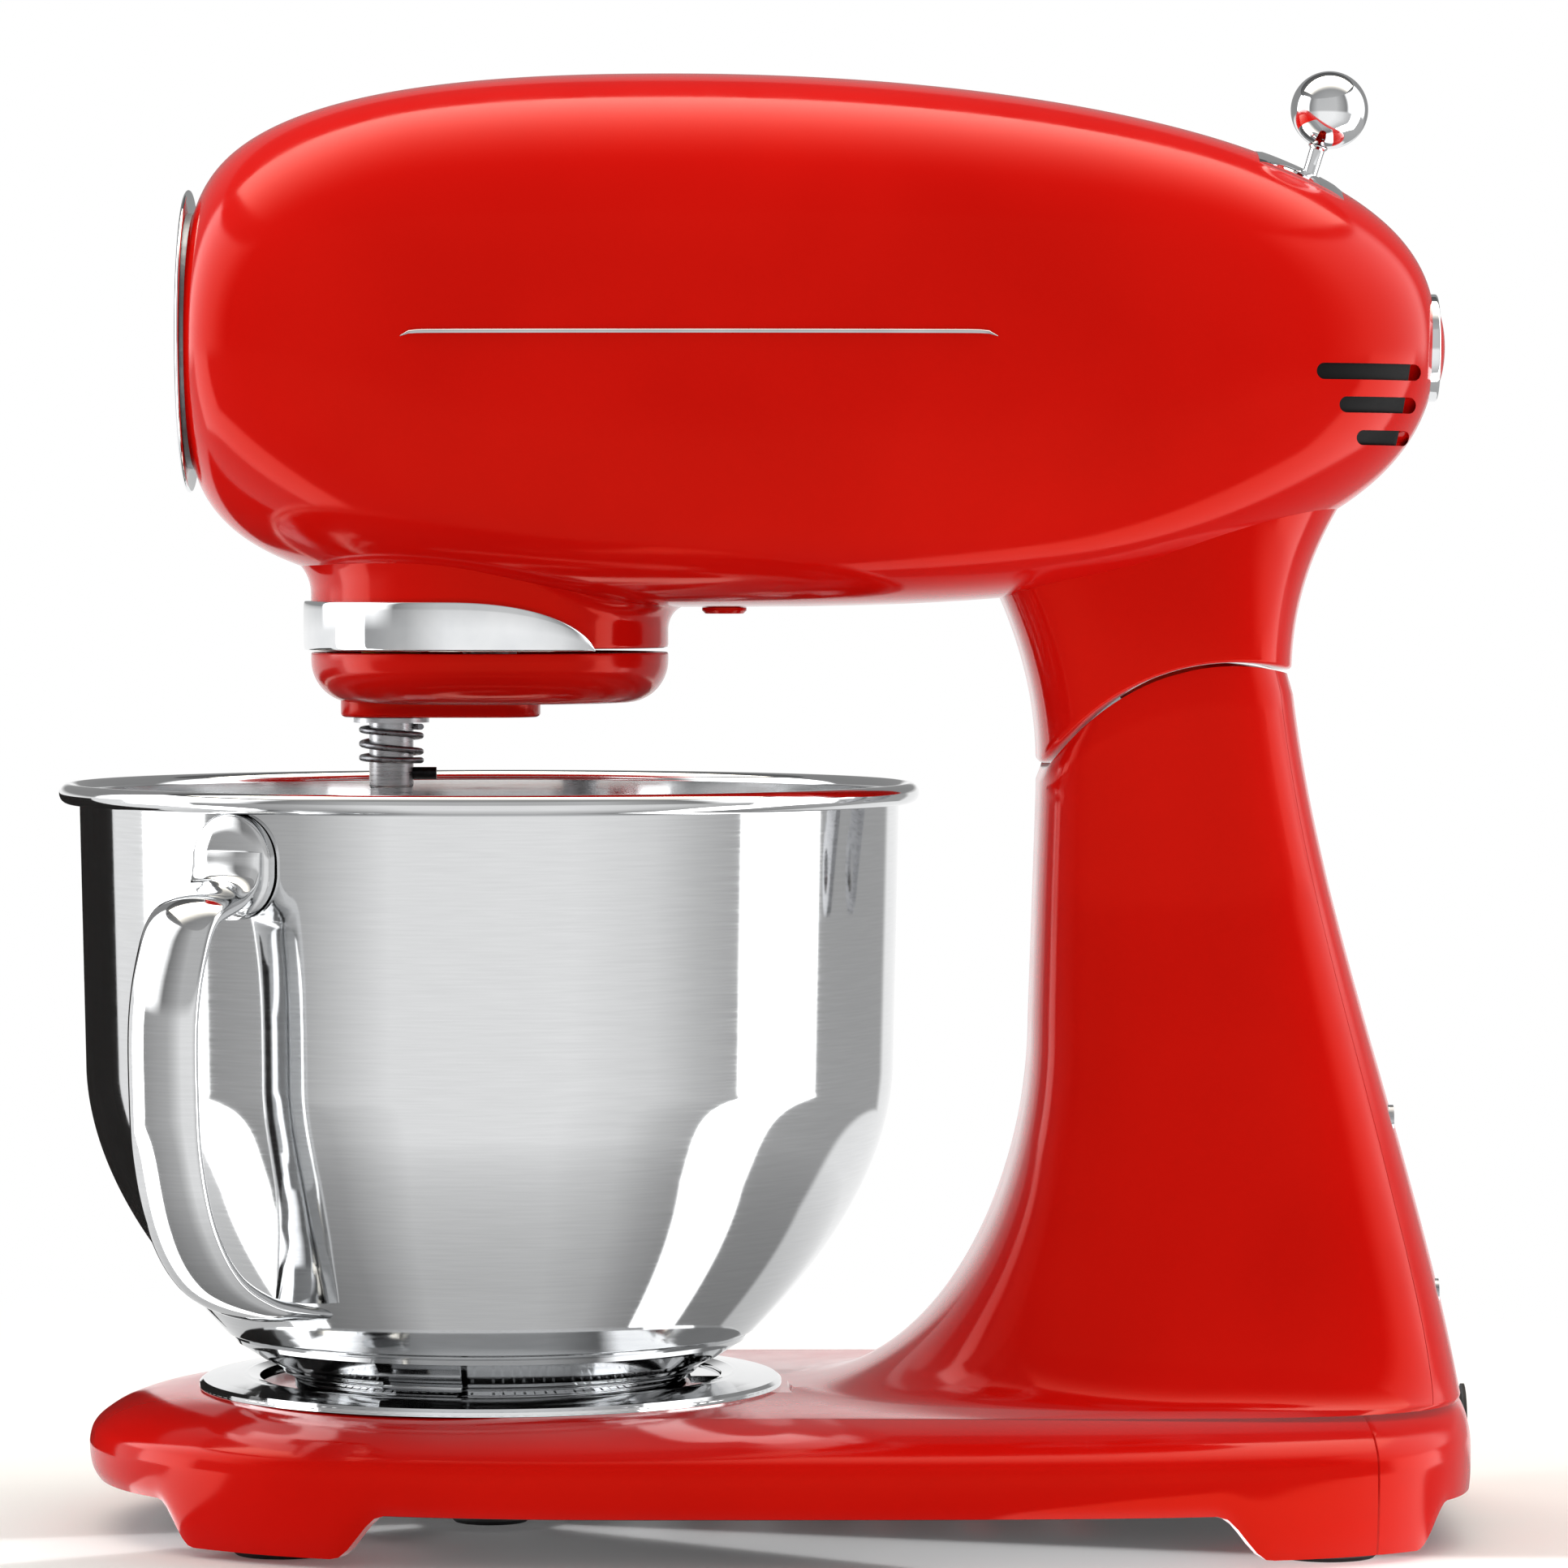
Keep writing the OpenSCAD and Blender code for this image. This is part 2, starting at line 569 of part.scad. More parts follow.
// Round cover over the hinge, slotted where the head's lugs swing
module hinge_shroud() color("#202022")
    translate([pivot_x, 0, pivot_z]) rotate([90, 0, 0]) difference() {
        rotate(slot_turn[0] - 0.8) rotate_extrude(angle = slot_turn[1] - slot_turn[0] + 3)
            translate([seam_r - seam_gap - 4, -shroud_half]) square([2, 2 * shroud_half]);
        for (side = [-1, 1]) translate([0, 0, side * lug_y - lug_t / 2 - 0.8])
            rotate(slot_turn[0]) rotate_extrude(angle = slot_turn[1] - slot_turn[0])
                translate([seam_r - 12, 0]) square([20, lug_t + 1.6]);
    }

// ---------- Head ----------

slot_x = [head_rear - 33.7, head_rear - 27.6, head_rear - 22.7];
slot_z = [-8, -16.4, -24.7];
slot_h = [4.2, 4.1, 3.8];
module head_shell() color("#C8140F") {
    difference() {
        tube_wall(head_rings(0), head_rings(wall));
        // Nose, neck, speed lever, release button and vents
        translate([0, 0, throat_h - 20]) cylinder(h = 50, r = nose_r + 0.2);
        hull() for (p = [[pivot_x - 26, 26], [pivot_x + 6, 20]], side = [-1, 1])
            translate([p[0], side * p[1], throat_h - 10]) cylinder(h = 52, r = 8, $fn = 24);
        lever_slot();
        along_x(head_rear - 20, button_z) cylinder(h = 40, r = button_d / 2 + 0.6);
        translate([plug_x, 0, throat_h - 5]) cylinder(h = 20, r = 3.8, $fn = 24);
        for (i = [0 : 2], side = [-1, 1]) hull() {
            translate([slot_x[i] + 2, side * 38, head_mid + slot_z[i]]) rotate([90, 0, 0])
                cylinder(h = 60, r = slot_h[i] / 2, center = true, $fn = 16);
            translate([head_rear - 7.4 - i, side * 38, head_mid + slot_z[i]]) rotate([90, 0, 0])
                cylinder(h = 60, r = slot_h[i] / 2, center = true, $fn = 16);
        }
    }
}
// Neck outlines from the seam up into the head
function neck_front(z) = column_x - 9.4 * pow(max(0, z - throat_h + 41) / 43, 2);
function neck_rear(z) = pivot_x + 15.9 + 14 * pow(max(0, z - throat_h + 17) / 45, 2);
neck_top = throat_h + 28;
// How far up the neck a height lies, from the seam's top (0) to the inside of the head (1)
function neck_share(z) = ease((z - pivot_z - seam_r) / (neck_top - pivot_z - seam_r));
function neck_ring(z, k) =
    let(up = neck_share(z), front = neck_front(z) + k, rear = neck_rear(z) - k,
        mid = mix(front, rear, mix(0.55, 0.48, up)), half = column_w / 2 - 1.5 * up - k)
    [for (j = [0 : 47]) let(a = 7.5 * j, fore = cos(a) < 0, n = fore ? 2.7 : mix(3.4, 2.2, up))
        [mid + lobe(cos(a), n) * (fore ? mid - front : rear - mid), lobe(sin(a), n) * half, z]];
function neck_rings(k) = [for (z = [pivot_z + 24, throat_h - 30, throat_h - 15, throat_h - 6, throat_h + 2,
    throat_h + 10, throat_h + 19, neck_top]) neck_ring(z, k)];
neck_shelf = throat_h - 6;
module neck_casting() color("#C8140F") {
    difference() {
        union() {
            tube_wall(neck_rings(0), neck_rings(wall));
            intersection() {
                loft(neck_rings(wall / 2));
                translate([pivot_x - 20, 0, neck_shelf + 2.5]) cube([120, 2 * head_w, 5], center = true);
            }
        }
        seam_drum(seam_r + seam_gap / 2);
        loft(head_rings(0));
        for (x = bracket_x, y = bracket_y)
            translate([x, y, neck_shelf - 5]) cylinder(h = 20, r = 2.45, $fn = 24);
        // Way for wires from the column
        hull() for (y = [-7, 7])
            translate([pivot_x + 6, y, neck_shelf - 5]) cylinder(h = 20, r = 5, $fn = 24);
    }
}
bracket_x = [pivot_x - 38, pivot_x - 22];
bracket_y = [-9, 9];
module hinge_bracket() color("#8A8C90")
    difference() {
        union() {
            for (side = [-1, 1]) translate([0, side * lug_y, 0]) rotate([90, 0, 0])
                linear_extrude(lug_t, center = true) difference() {
                    union() {
                        translate([pivot_x, pivot_z]) circle(12);
                        translate([pivot_x, pivot_z]) polygon([
                            [4, 11], [-8, -9], 60 * [cos(lug_turn[1]), sin(lug_turn[1])],
                            [-44, neck_shelf - pivot_z], [-26, neck_shelf - pivot_z],
                            60 * [cos(lug_turn[0]), sin(lug_turn[0])]]);
                    }
                    translate([pivot_x, pivot_z]) circle(pin_r + run_gap);
                }
            translate([pivot_x - 44, -lug_y - lug_t / 2, neck_shelf - 5]) cube([28, 2 * lug_y + lug_t, 5]);
        }
        for (x = bracket_x, y = bracket_y) translate([x, y, neck_shelf - 10]) cylinder(h = 20, r = 2.2);
    }
module hinge_bracket_screws() color("silver")
    for (x = bracket_x, y = bracket_y) translate([x, y, neck_shelf + 5]) screw(4.4, 12);

// The nose's wall, with the web that carries the drive's lower bearing
module nose_housing() color("#C8140F") {
    difference() {
        union() {
            translate([0, 0, nose_z]) ring(nose_r, nose_in, throat_h + 21 - nose_z);
            translate([0, 0, web_z]) ring(nose_in + 1, bearing_r(main_r), web_h);
        }
        for (a = [60, 180, 300])
            rotate(a) translate([nose_in - 9, 0, web_z - 1]) cylinder(h = web_h + 2, r = 2.2);
    }
}
function bearing_r(shaft) = shaft + 6;
band_t = 2;
// Bright band round the front of the nose; its upper edge falls away towards the rear
module nose_band() color("#E4E6E8")
    translate([0, 0, nose_z - 0.6]) intersection() {
        rotate(180 - band_turn) rotate_extrude(angle = 2 * band_turn)
            translate([nose_r, 0]) square([band_t, band_h]);
        rotate([90, 0, 0]) linear_extrude(3 * nose_r, center = true) polygon(concat(
            [[-2 * nose_r, -1], [-2 * nose_r, band_h + 1], [-nose_r / 2, band_h + 1]],
            [for (t = [0 : 6 : 90]) [mix(-nose_r / 4, band_end, sin(t)), band_h * pow(cos(t), 0.9)]],
            [[band_end, -1]]));
    }
band_turn = 126;
band_end = nose_r * cos(180 - band_turn) + 1;
module ring_gear() color("#B7B9BC")
    translate([0, 0, ring_z]) linear_extrude(ring_h) difference() {
        circle(nose_in, $fn = 128);
        rotate(180) polygon(teeth_outline(ring_teeth, ring_module, ring_r - addendum * ring_module,
            ring_r + dedendum * ring_module, -tooth_slack));
    }
module hub_socket() color("#C9CBCE")
    along_x(-head_front + 0.6, hub_z) difference() {
        union() {
            cylinder(h = 3.4, r = hub_r - 1);
            cylinder(h = 40, r = hub_bore_d / 2 + 4);
        }
        translate([0, 0, -1]) cylinder(h = 35, r = hub_bore_d / 2);
        translate([0, 0, -1]) cylinder(h = 50, r = 6);
    }
trim_x = [-20, 130];
trim_h = 4;
// Plain bright bars on the head's sides
module side_trims() color("#E4E6E8")
    intersection() {
        tube_wall(head_rings(-1), head_rings(0));
        for (side = [-1, 1])
            translate([trim_x[0], side > 0 ? 10 : -90, head_mid - trim_h / 2])
                cube([trim_x[1] - trim_x[0], 80, trim_h]);
    }
module drive_frame() color("#9A9CA0")
    difference() {
        union() {
            translate([-34, -plate_half, plate_z]) cube([rear_bearing_x + 44, 2 * plate_half, plate_h]);
            translate([lay_x, 0, plate_z - 2]) cylinder(h = 3, r = lay_r + 4);
        }
        translate([0, 0, plate_z - 1]) cylinder(h = plate_h + 2, r = bearing_r(main_r));
        translate([lay_x, 0, plate_z - 20]) cylinder(h = 40, r = lay_r + run_gap);
        for (x = [front_bearing_x, rear_bearing_x], y = [-plate_half + 7, plate_half - 7])
            translate([x, y, plate_z - 1]) cylinder(h = plate_h + 2, r = 2.2);
    }
module motor_brackets() color("#9A9CA0")
    for (x = [front_bearing_x, rear_bearing_x]) translate([x, 0, 0]) rotate([90, 0, 90])
        linear_extrude(bearing_w, center = true) difference() {
            union() {
                translate([-plate_half + 3, plate_z + plate_h]) square([2 * plate_half - 6, 10]);
                translate([-14, plate_z + plate_h]) square([28, head_mid - plate_z - plate_h]);
                translate([0, head_mid]) circle(motor_d / 2 - 12);
            }
            translate([0, head_mid]) circle(11);
            for (y = [-1, 1]) translate([y * (motor_d / 2 - 19), head_mid + 9]) circle(2.2);
        }
// Laminated core with two poles, open in the middle for the armature
module motor_field() color("#6E5A4A")
    along_x(motor_x, head_mid) linear_extrude(motor_len) difference() {
        intersection() {
            circle(motor_d / 2);
            square([motor_d - 2, motor_d - 12], center = true);
        }
        circle(armature_r + 0.5);
        for (side = [-1, 1]) translate([0, side * (armature_r + 2)]) square([20, 9], center = true);
    }
armature_r = motor_d / 2 - 15;
module field_coils() color("#B5651D")
    for (side = [-1, 1], end = [0, 1])
        along_x(motor_x + (end ? motor_len : -9), head_mid) rotate(side * 90)
            rotate(-50) rotate_extrude(angle = 100) translate([armature_r + 1, 0]) square([8, 9]);
module motor_bearings() color("silver")
    for (x = [front_bearing_x, rear_bearing_x]) along_x(x - bearing_w / 2, head_mid)
        ring(11, rotor_r + run_gap, bearing_w);
module shaft_bearings() color("silver") {
    translate([0, 0, web_z]) ring(bearing_r(main_r), main_r + run_gap, web_h);
    translate([0, 0, plate_z]) ring(bearing_r(main_r), main_r + run_gap, plate_h);
}
brush_x = motor_x + motor_len + 12.5;
module carbon_brushes() color("#2A2A2A")
    for (side = [-1, 1])
        translate([brush_x, side * (commutator_r + 7.4), head_mid]) cube([5, 14, 8], center = true);
commutator_r = 11;
band_x = [lever_x - 11, lever_x + 11];
// Bright strip across the crown that frames the speed lever's slot
band_w = 38;
module speed_band() color("#E4E6E8")
    difference() {
        intersection() {
            tube_wall(head_rings(-0.7), head_rings(-0.05));
            translate([band_x[0], -band_w / 2, head_mid + 20]) cube([band_x[1] - band_x[0], band_w, 60]);
        }
        lever_slot();
    }
lever_pivot_z = head_mid + 33;
stem_foot = [lever_x + 1, lever_pivot_z + 3];
slot_spread = 9.4;
// The stem's slot in the crown
module lever_slot() {
    hull() for (side = [-1, 1])
        translate([stem_foot[0], side * slot_spread, stem_foot[1]]) rotate([0, lever_lean, 0])
            cylinder(h = 40, r = 2.5, $fn = 16);
}
module speed_switch() color("#26282A")
    difference() {
        translate([lever_x - 28, -13, lever_pivot_z - 5]) cube([20, 26, 12]);
        along_x(lever_x - 40, lever_pivot_z) cylinder(h = 60, r = lever_r + run_gap);
    }
module control_board() color("#2F6B3A")
    difference() {
        translate([motor_x - 52, -26, head_mid + 45]) cube([84, 52, 1.6]);
        for (x = [-48, 28], y = [-22, 22])
            translate([motor_x + x, y, head_mid + 44]) cylinder(h = 4, r = 1.6);
    }
module vent_liners() color("#101010")
    for (side = [-1, 1]) intersection() {
        tube_wall(head_rings(wall + 0.1), head_rings(wall + 1.4));
        translate([head_rear - 38, side > 0 ? 16 : -76, head_mid - 30]) cube([30, 60, 28]);
    }
module button_ring() color("#E4E6E8")
    along_x(head_rear - 6.5, button_z) difference() {
        cylinder(h = 7, r = button_d / 2 + 0.5);
        translate([0, 0, -1]) cylinder(h = 9, r = button_d / 2 - 1.2);
    }
module release_button() color("#D4100C")
    along_x(head_rear - 8, button_z) {
        rotate_extrude() polygon(concat([[0, 0], [button_d / 2 - 1.5, 0]],
            [for (t = [0 : 15 : 90]) [(button_d / 2 - 1.5) * cos(t), 6.4 + 4 * sin(t)]]));
        translate([0, 0, -24]) cylinder(h = 24 + eps, r = 3);
    }
module button_spring() color("silver")
    along_x(0, button_z) wire(coil(5.2, head_rear - 24, head_rear - 8.7, 5), 0.6, 6);
plug_x = 60.8;
module underside_plug() color("#D4100C")
    translate([plug_x, 0, throat_h - 1.8])
        rotate_extrude() polygon([[0, 0], [5, 0], [5.8, 0.8], [5.8, 1.6], [3.6, 1.8], [3.6, 5], [0, 5]]);

// ---------- Planetary drive ----------

hub_top = ring_z - 0.6;
module planetary_cap() color("#D4100C")
    difference() {
        union() {
            rotate_extrude() polygon(concat(
                [[0, cap_bot], [nose_r - 11, cap_bot]],
                [for (t = [10 : 10 : 90]) [nose_r - 11 + 11 * sin(t), cap_bot + 11 * (1 - cos(t))]],
                [[nose_r, cap_top], [nose_r - 3, cap_top], [nose_r - 3.4, cap_bot + 8],
                    [nose_r - 9, cap_bot + 3.4],
                 [0, cap_bot + 3.4]]));
            translate([0, 0, cap_bot]) cylinder(h = hub_top - cap_bot, r = main_r + 4);
            translate([planet_x, 0, cap_bot]) cylinder(h = hub_top - cap_bot, r = shaft_r + 5);
            translate([0, 0, boss_z]) linear_extrude(boss_h + eps) {
                circle(boss_r);
                translate([planet_x, 0]) circle(boss_r);
                translate([planet_x, -boss_r]) square([-planet_x, 2 * boss_r]);
            }
        }
        translate([0, 0, cap_bot]) cylinder(h = 60, r = main_r);
        translate([planet_x, 0, boss_z - 1]) cylinder(h = 60, r = shaft_r + 2);
    }
module main_shaft() color("silver")
    translate([0, 0, cap_bot]) cylinder(h = spur_z + spur_h + 2 - cap_bot, r = main_r);
module main_gear() color("#B7B9BC")
    translate([0, 0, spur_z]) difference() {
        spur(main_teeth, spur_module, spur_h);
        translate([0, 0, -1]) cylinder(h = spur_h + 2, r = main_r);
        for (a = [0 : 60 : 300]) rotate(a) translate([20, 0, -1]) cylinder(h = spur_h + 2, r = 6);
    }
module planet_bush() color("#B08A48")
    translate([planet_x, 0, boss_z]) ring(shaft_r + 2, shaft_r + run_gap, hub_top - boss_z);
cross_z = throat_h - 43.2;
tip_z = boss_z - shaft_drop;
step_z = cross_z - 3.4;
module attachment_shaft() color("#B9BBBE")
    difference() {
        translate([planet_x, 0, 0]) rotate_extrude() polygon([
            [0, tip_z], [shaft_r - 1.2, tip_z], [shaft_r - 0.25, tip_z + 1], [shaft_r - 0.25, step_z],
            [shaft_r, step_z + 0.4], [shaft_r, ring_z + ring_h], [0, ring_z + ring_h]]);
        translate([planet_x, 0, cross_z]) rotate([0, 90, 0]) cylinder(h = 40, r = 1.6, center = true);
    }
module planet_gear() color("#B7B9BC")
    translate([planet_x, 0, ring_z + 0.4]) difference() {
        rotate(180) spur(planet_teeth, ring_module, ring_h - 0.6);
        translate([0, 0, -1]) cylinder(h = ring_h + 2, r = shaft_r);
    }
module cross_pin() color("#202020")
    translate([planet_x - shaft_r + 0.4, 0, cross_z]) rotate([0, 90, 0])
        cylinder(h = shaft_r + 11.3, r = 1.6);
module shaft_washer() color("#B9BBBE")
    translate([planet_x, 0, boss_z - 1.4]) ring(9.8, shaft_r, 1.2);
module shaft_spring() color("#8C8E90")
    translate([planet_x, 0, 0]) wire(coil(shaft_r + 1.9, boss_z - 2.4, cross_z + 3.2, 3), 0.75, 6);
module lay_shaft() color("silver")
    translate([lay_x, 0, plate_z - 1]) cylinder(h = head_mid - pinion_r - 2 - plate_z, r = lay_r);
module lay_gear() color("#B7B9BC")
    translate([lay_x, 0, spur_z]) difference() {
        rotate(180 + 180 / lay_teeth) spur(lay_teeth, spur_module, spur_h);
        translate([0, 0, -1]) cylinder(h = spur_h + 2, r = lay_r);
    }
tooth_angle = asin(bevel_module / bevel_rho);
module bevel_gear() color("#B7B9BC")
    translate([lay_x, 0, head_mid]) difference() {
        bevel(bevel_teeth, bevel_cone, tooth_angle);
        translate([0, 0, -60]) cylinder(h = 60 - pinion_r - 3, r = lay_r);
    }
module bevel_pinion() color("#B7B9BC")
    translate([lay_x, 0, head_mid]) rotate([0, -90, 0]) rotate(180 / pinion_teeth) difference() {
        bevel(pinion_teeth, 90 - bevel_cone, tooth_angle);
        translate([0, 0, -60]) cylinder(h = 40, r = rotor_r);
    }
module motor_shaft() color("silver")
    along_x(lay_x + 20, head_mid) cylinder(h = fan_x + 8 - lay_x - 20, r = rotor_r);
module motor_armature() color("#B5651D")
    along_x(motor_x + 1, head_mid) difference() {
        union() {
            linear_extrude(motor_len - 2) difference() {
                circle(armature_r - 0.4);
                for (a = [0 : 30 : 330])
                    rotate(a) translate([armature_r, 0]) square([12, 2.4], center = true);
            }
            translate([0, 0, -6]) cylinder(h = 7, r = armature_r - 7);
            translate([0, 0, motor_len - 3]) cylinder(h = 7, r = armature_r - 7);
            translate([0, 0, motor_len + 3]) cylinder(h = 14, r = commutator_r);
        }
        translate([0, 0, -20]) cylinder(h = motor_len + 60, r = rotor_r);
    }
fan_r = 27;
module motor_fan() color("#D8D8D0")
    along_x(fan_x - 2, head_mid) difference() {
        union() {
            cylinder(h = 1.6, r = fan_r);
            cylinder(h = 9, r = 8);
            for (a = [0 : 40 : 320]) rotate(a) translate([7, -0.8, 0]) cube([fan_r - 7, 1.6, 9]);
        }
        translate([0, 0, -1]) cylinder(h = 12, r = rotor_r);
    }

// ---------- Controls ----------

lever_r = 3;
stem_r = 1.9;
ball_up = head_at(lever_x)[2] + 16.4 - (stem_foot[1] - head_mid);
module lever_stem() color("#C9CBCE") {
    along_x(lever_x - 26, lever_pivot_z) cylinder(h = 32, r = lever_r);
    translate([stem_foot[0], 0, stem_foot[1]]) rotate([0, lever_lean, 0])
        translate([0, 0, -2]) cylinder(h = ball_up, r = stem_r);
}
module lever_knob() color("#E4E6E8")
    translate([stem_foot[0], 0, stem_foot[1]]) rotate([0, lever_lean, 0])
        translate([0, 0, ball_up]) difference() {
        sphere(ball_d / 2);
        translate([0, 0, -ball_d]) cylinder(h = ball_d - 2, r = 1.9);
    }
module hub_cover() color("#E4E6E8")
    along_x(-head_front - 1.4, hub_z) {
        rotate_extrude() polygon([
            [0, 0], [20, 0.15], [34, 0.5], [38.4, 0.9], [39.2, 1.5], [39, 1.9], [0, 1.9]]);
        cylinder(h = 20, r = hub_bore_d / 2 - 0.06);
    }

// ---------- Bowl ----------

// Radius of the bowl's wall at height z, k inside the surface
function bowl_wall(z, k) =
    let(u = (knee_h - z) / (knee_h - bowl_foot_z + 1.4), straight = wall_r - 1.6)
    (z >= knee_h ? mix(straight, wall_r, (z - knee_h) / (rim_h - knee_h))
                 : bowl_foot_r + (straight - bowl_foot_r) * (1 - pow(max(0, u), 1.9))) - k;
bowl_levels = [bowl_foot_z + 0.4, 54, 60, 68, 78, 90, 104, knee_h, rim_h - 4];
module bowl() color("#D9DBDD")
    rotate_extrude($fn = 128) {
        polygon(concat(
            [[0, bowl_foot_z]], [for (z = bowl_levels) [bowl_wall(z, 0), z]], [[wall_r, rim_h - roll_r]],
            [[wall_r - bowl_sheet, rim_h - roll_r]],
            [for (i = [len(bowl_levels) - 1 : -1 : 1])
                [bowl_wall(bowl_levels[i], bowl_sheet), bowl_levels[i] + 0.5]],
            [[0, bowl_foot_z + bowl_sheet]]));
        translate([bowl_r - roll_r, rim_h - roll_r]) circle(roll_r, $fn = 32);
        translate([wall_r - bowl_sheet, rim_h - roll_r - 0.6]) square([roll_r, 1.2]);
    }
tab_angles = [2, 122, 242];
module bowl_foot() color("#C4C6C8") {
    rotate_extrude() polygon([
        [bowl_foot_r - 5, bowl_foot_z], [bowl_foot_r - 1, bowl_foot_z], [bowl_foot_r, bowl_foot_z - 0.8],
        [bowl_foot_r - 0.6, bowl_foot_z - 2], [bowl_foot_r - 7, bowl_foot_z - 6], [seat_r - 1.4, deck_h + 6],
        [seat_r - 6.2, deck_h + 2.4], [seat_r - 6.2, deck_h - 5.6], [seat_r - 8.2, deck_h - 5.6],
        [seat_r - 8.2, deck_h + 4], [bowl_foot_r - 11, bowl_foot_z - 4], [bowl_foot_r - 9, bowl_foot_z]]);
    // Tabs that turn under the plate's hooks
    for (a = tab_angles) rotate(a) rotate_extrude(angle = 20)
        polygon([[seat_r - 6.4, deck_h - 3.4], [seat_r + 0.8, deck_h - 3.4],
            [seat_r + 0.8, deck_h - 1], [seat_r - 6.4, deck_h - 1]]);
}
// The strap's middle line in the plane through the bowl's axis: distance out and height
grip_r = bowl_r + 23;
handle_path = [[wall_r + 3.4, 178], [wall_r + 4.2, 171], [wall_r + 9, 166.4], [wall_r + 20, 162],
    [grip_r - 3, 152], [grip_r, 138], [grip_r, 120], [grip_r - 1.6, 103], [grip_r - 7, 86],
    [grip_r - 17, 73], [grip_r - 31, 65.6],
    [grip_r - 45, 62.6], [bowl_wall(61, 0) + 2.6, 61.4]];
function smooth(points) = [
    for (i = [0 : len(points) - 2], t = [0, 1 / 3, 2 / 3])
        let(a = points[max(0, i - 1)], b = points[i], c = points[i + 1],
            d = points[min(len(points) - 1, i + 2)])
        0.5 * (2 * b + (c - a) * t + (2 * a - 5 * b + 4 * c - d) * t * t
            + (3 * b - a - 3 * c + d) * t * t * t)
];
module bowl_handle() color("#D9DBDD") rotate(handle_turn) {
    lift = rim_h - 192.5;
    line = concat(smooth([for (p = handle_path) [p[0], p[1] + lift]]),
        [[bowl_wall(61, 0) + 2.6, 61.4 + lift]]);
    m = len(line);
    loft([for (i = [0 : m - 1])
        let(t = unit(line[min(m - 1, i + 1)] - line[max(0, i - 1)]), n = [t[1], -t[0]],
            thin = mix(0.5, 1, ease(min(i, m - 1 - i) / 9)))
        [for (j = [0 : 15]) let(a = 22.5 * j, off = lobe(cos(a), 2.4) * strap_t / 2 * thin)
            [line[i][0] + n[0] * off, lobe(sin(a), 2.4) * strap_w / 2, line[i][1] + n[1] * off]]]);
    // Rounded tab on the bowl's wall
    intersection() {
        translate([wall_r - 20, 0, rim_h - 17]) rotate([0, 90, 0]) linear_extrude(60) union() {
            circle(12);
            translate([0, -12]) square([14, 24]);
        }
        translate([0, 0, rim_h - 50]) ring(wall_r + 2.9, wall_r + 0.4, 50);
    }
}

base_casting();
rear_cover();
underside_plate();
foot_pads();
bowl_plate();
bowl_plate_screws();
hinge_frame();
hinge_frame_screws();
hinge_bushes();
hinge_pin();
hinge_shroud();
cord_gland();
rear_cover_screws();
head_shell();
neck_casting();
hinge_bracket();
hinge_bracket_screws();
nose_housing();
nose_band();
hub_socket();
side_trims();
drive_frame();
motor_brackets();
motor_field();
field_coils();
motor_bearings();
carbon_brushes();
ring_gear();
shaft_bearings();
speed_band();
speed_switch();
control_board();
vent_liners();
button_ring();
button_spring();
underside_plug();
planetary_cap();
main_shaft();
main_gear();
planet_bush();
attachment_shaft();
planet_gear();
cross_pin();
shaft_spring();
shaft_washer();
lay_shaft();
lay_gear();
bevel_gear();
motor_armature();
motor_shaft();
motor_fan();
bevel_pinion();
lever_stem();
lever_knob();
release_button();
bowl();
bowl_foot();
bowl_handle();
hub_cover();
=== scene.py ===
# %% [markdown]
# # A tilt-head stand mixer
# The machine is a cast stand, a head that tilts back on a pin, a planetary drive under the head and
# a steel bowl with a loop handle. Its frame comes packed from CAD, where every solid already has its
# true size and place. This lesson makes the skins that the eye sees, as surfaces worked out with
# numpy, and gives every part, seen or not, the finish of its real material.
# The origin is on the worktop, on the bowl's axis. The column is towards +X, and +Z is up.

# %% Load the frame
import json
import bpy
import numpy as np
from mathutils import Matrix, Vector


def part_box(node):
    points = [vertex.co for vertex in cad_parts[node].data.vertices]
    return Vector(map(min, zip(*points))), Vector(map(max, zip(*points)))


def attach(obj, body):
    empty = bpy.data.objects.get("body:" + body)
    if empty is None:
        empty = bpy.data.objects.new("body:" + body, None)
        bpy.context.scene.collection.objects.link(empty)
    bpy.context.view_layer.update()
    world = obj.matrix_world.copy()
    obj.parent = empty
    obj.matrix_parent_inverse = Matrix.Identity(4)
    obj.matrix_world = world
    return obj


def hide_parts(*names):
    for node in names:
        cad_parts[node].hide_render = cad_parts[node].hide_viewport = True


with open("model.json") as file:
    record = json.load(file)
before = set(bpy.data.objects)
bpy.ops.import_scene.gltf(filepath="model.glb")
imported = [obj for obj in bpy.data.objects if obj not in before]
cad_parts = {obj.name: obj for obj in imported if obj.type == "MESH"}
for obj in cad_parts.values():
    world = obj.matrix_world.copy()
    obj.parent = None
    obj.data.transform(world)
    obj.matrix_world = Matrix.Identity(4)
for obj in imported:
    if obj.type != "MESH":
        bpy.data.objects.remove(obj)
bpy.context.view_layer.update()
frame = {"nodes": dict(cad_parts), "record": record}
nodes = frame["nodes"]

# %% [markdown]
# ## Sizes from the frame
# A drawing for a casting is in millimetres, so this script thinks in millimetres too, and turns them
# into Blender's metres in the one place where a mesh is made. The driving sizes are read off the
# boxes of the frame's own nodes, so a piece can't drift from the solid that it stands for.

# %% Driving sizes in millimetres
MM = 0.001
scene = bpy.context.scene


def corners(node):
    """Lowest and highest corner of a frame node, in millimetres."""
    return [np.array(corner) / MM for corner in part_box(node)]


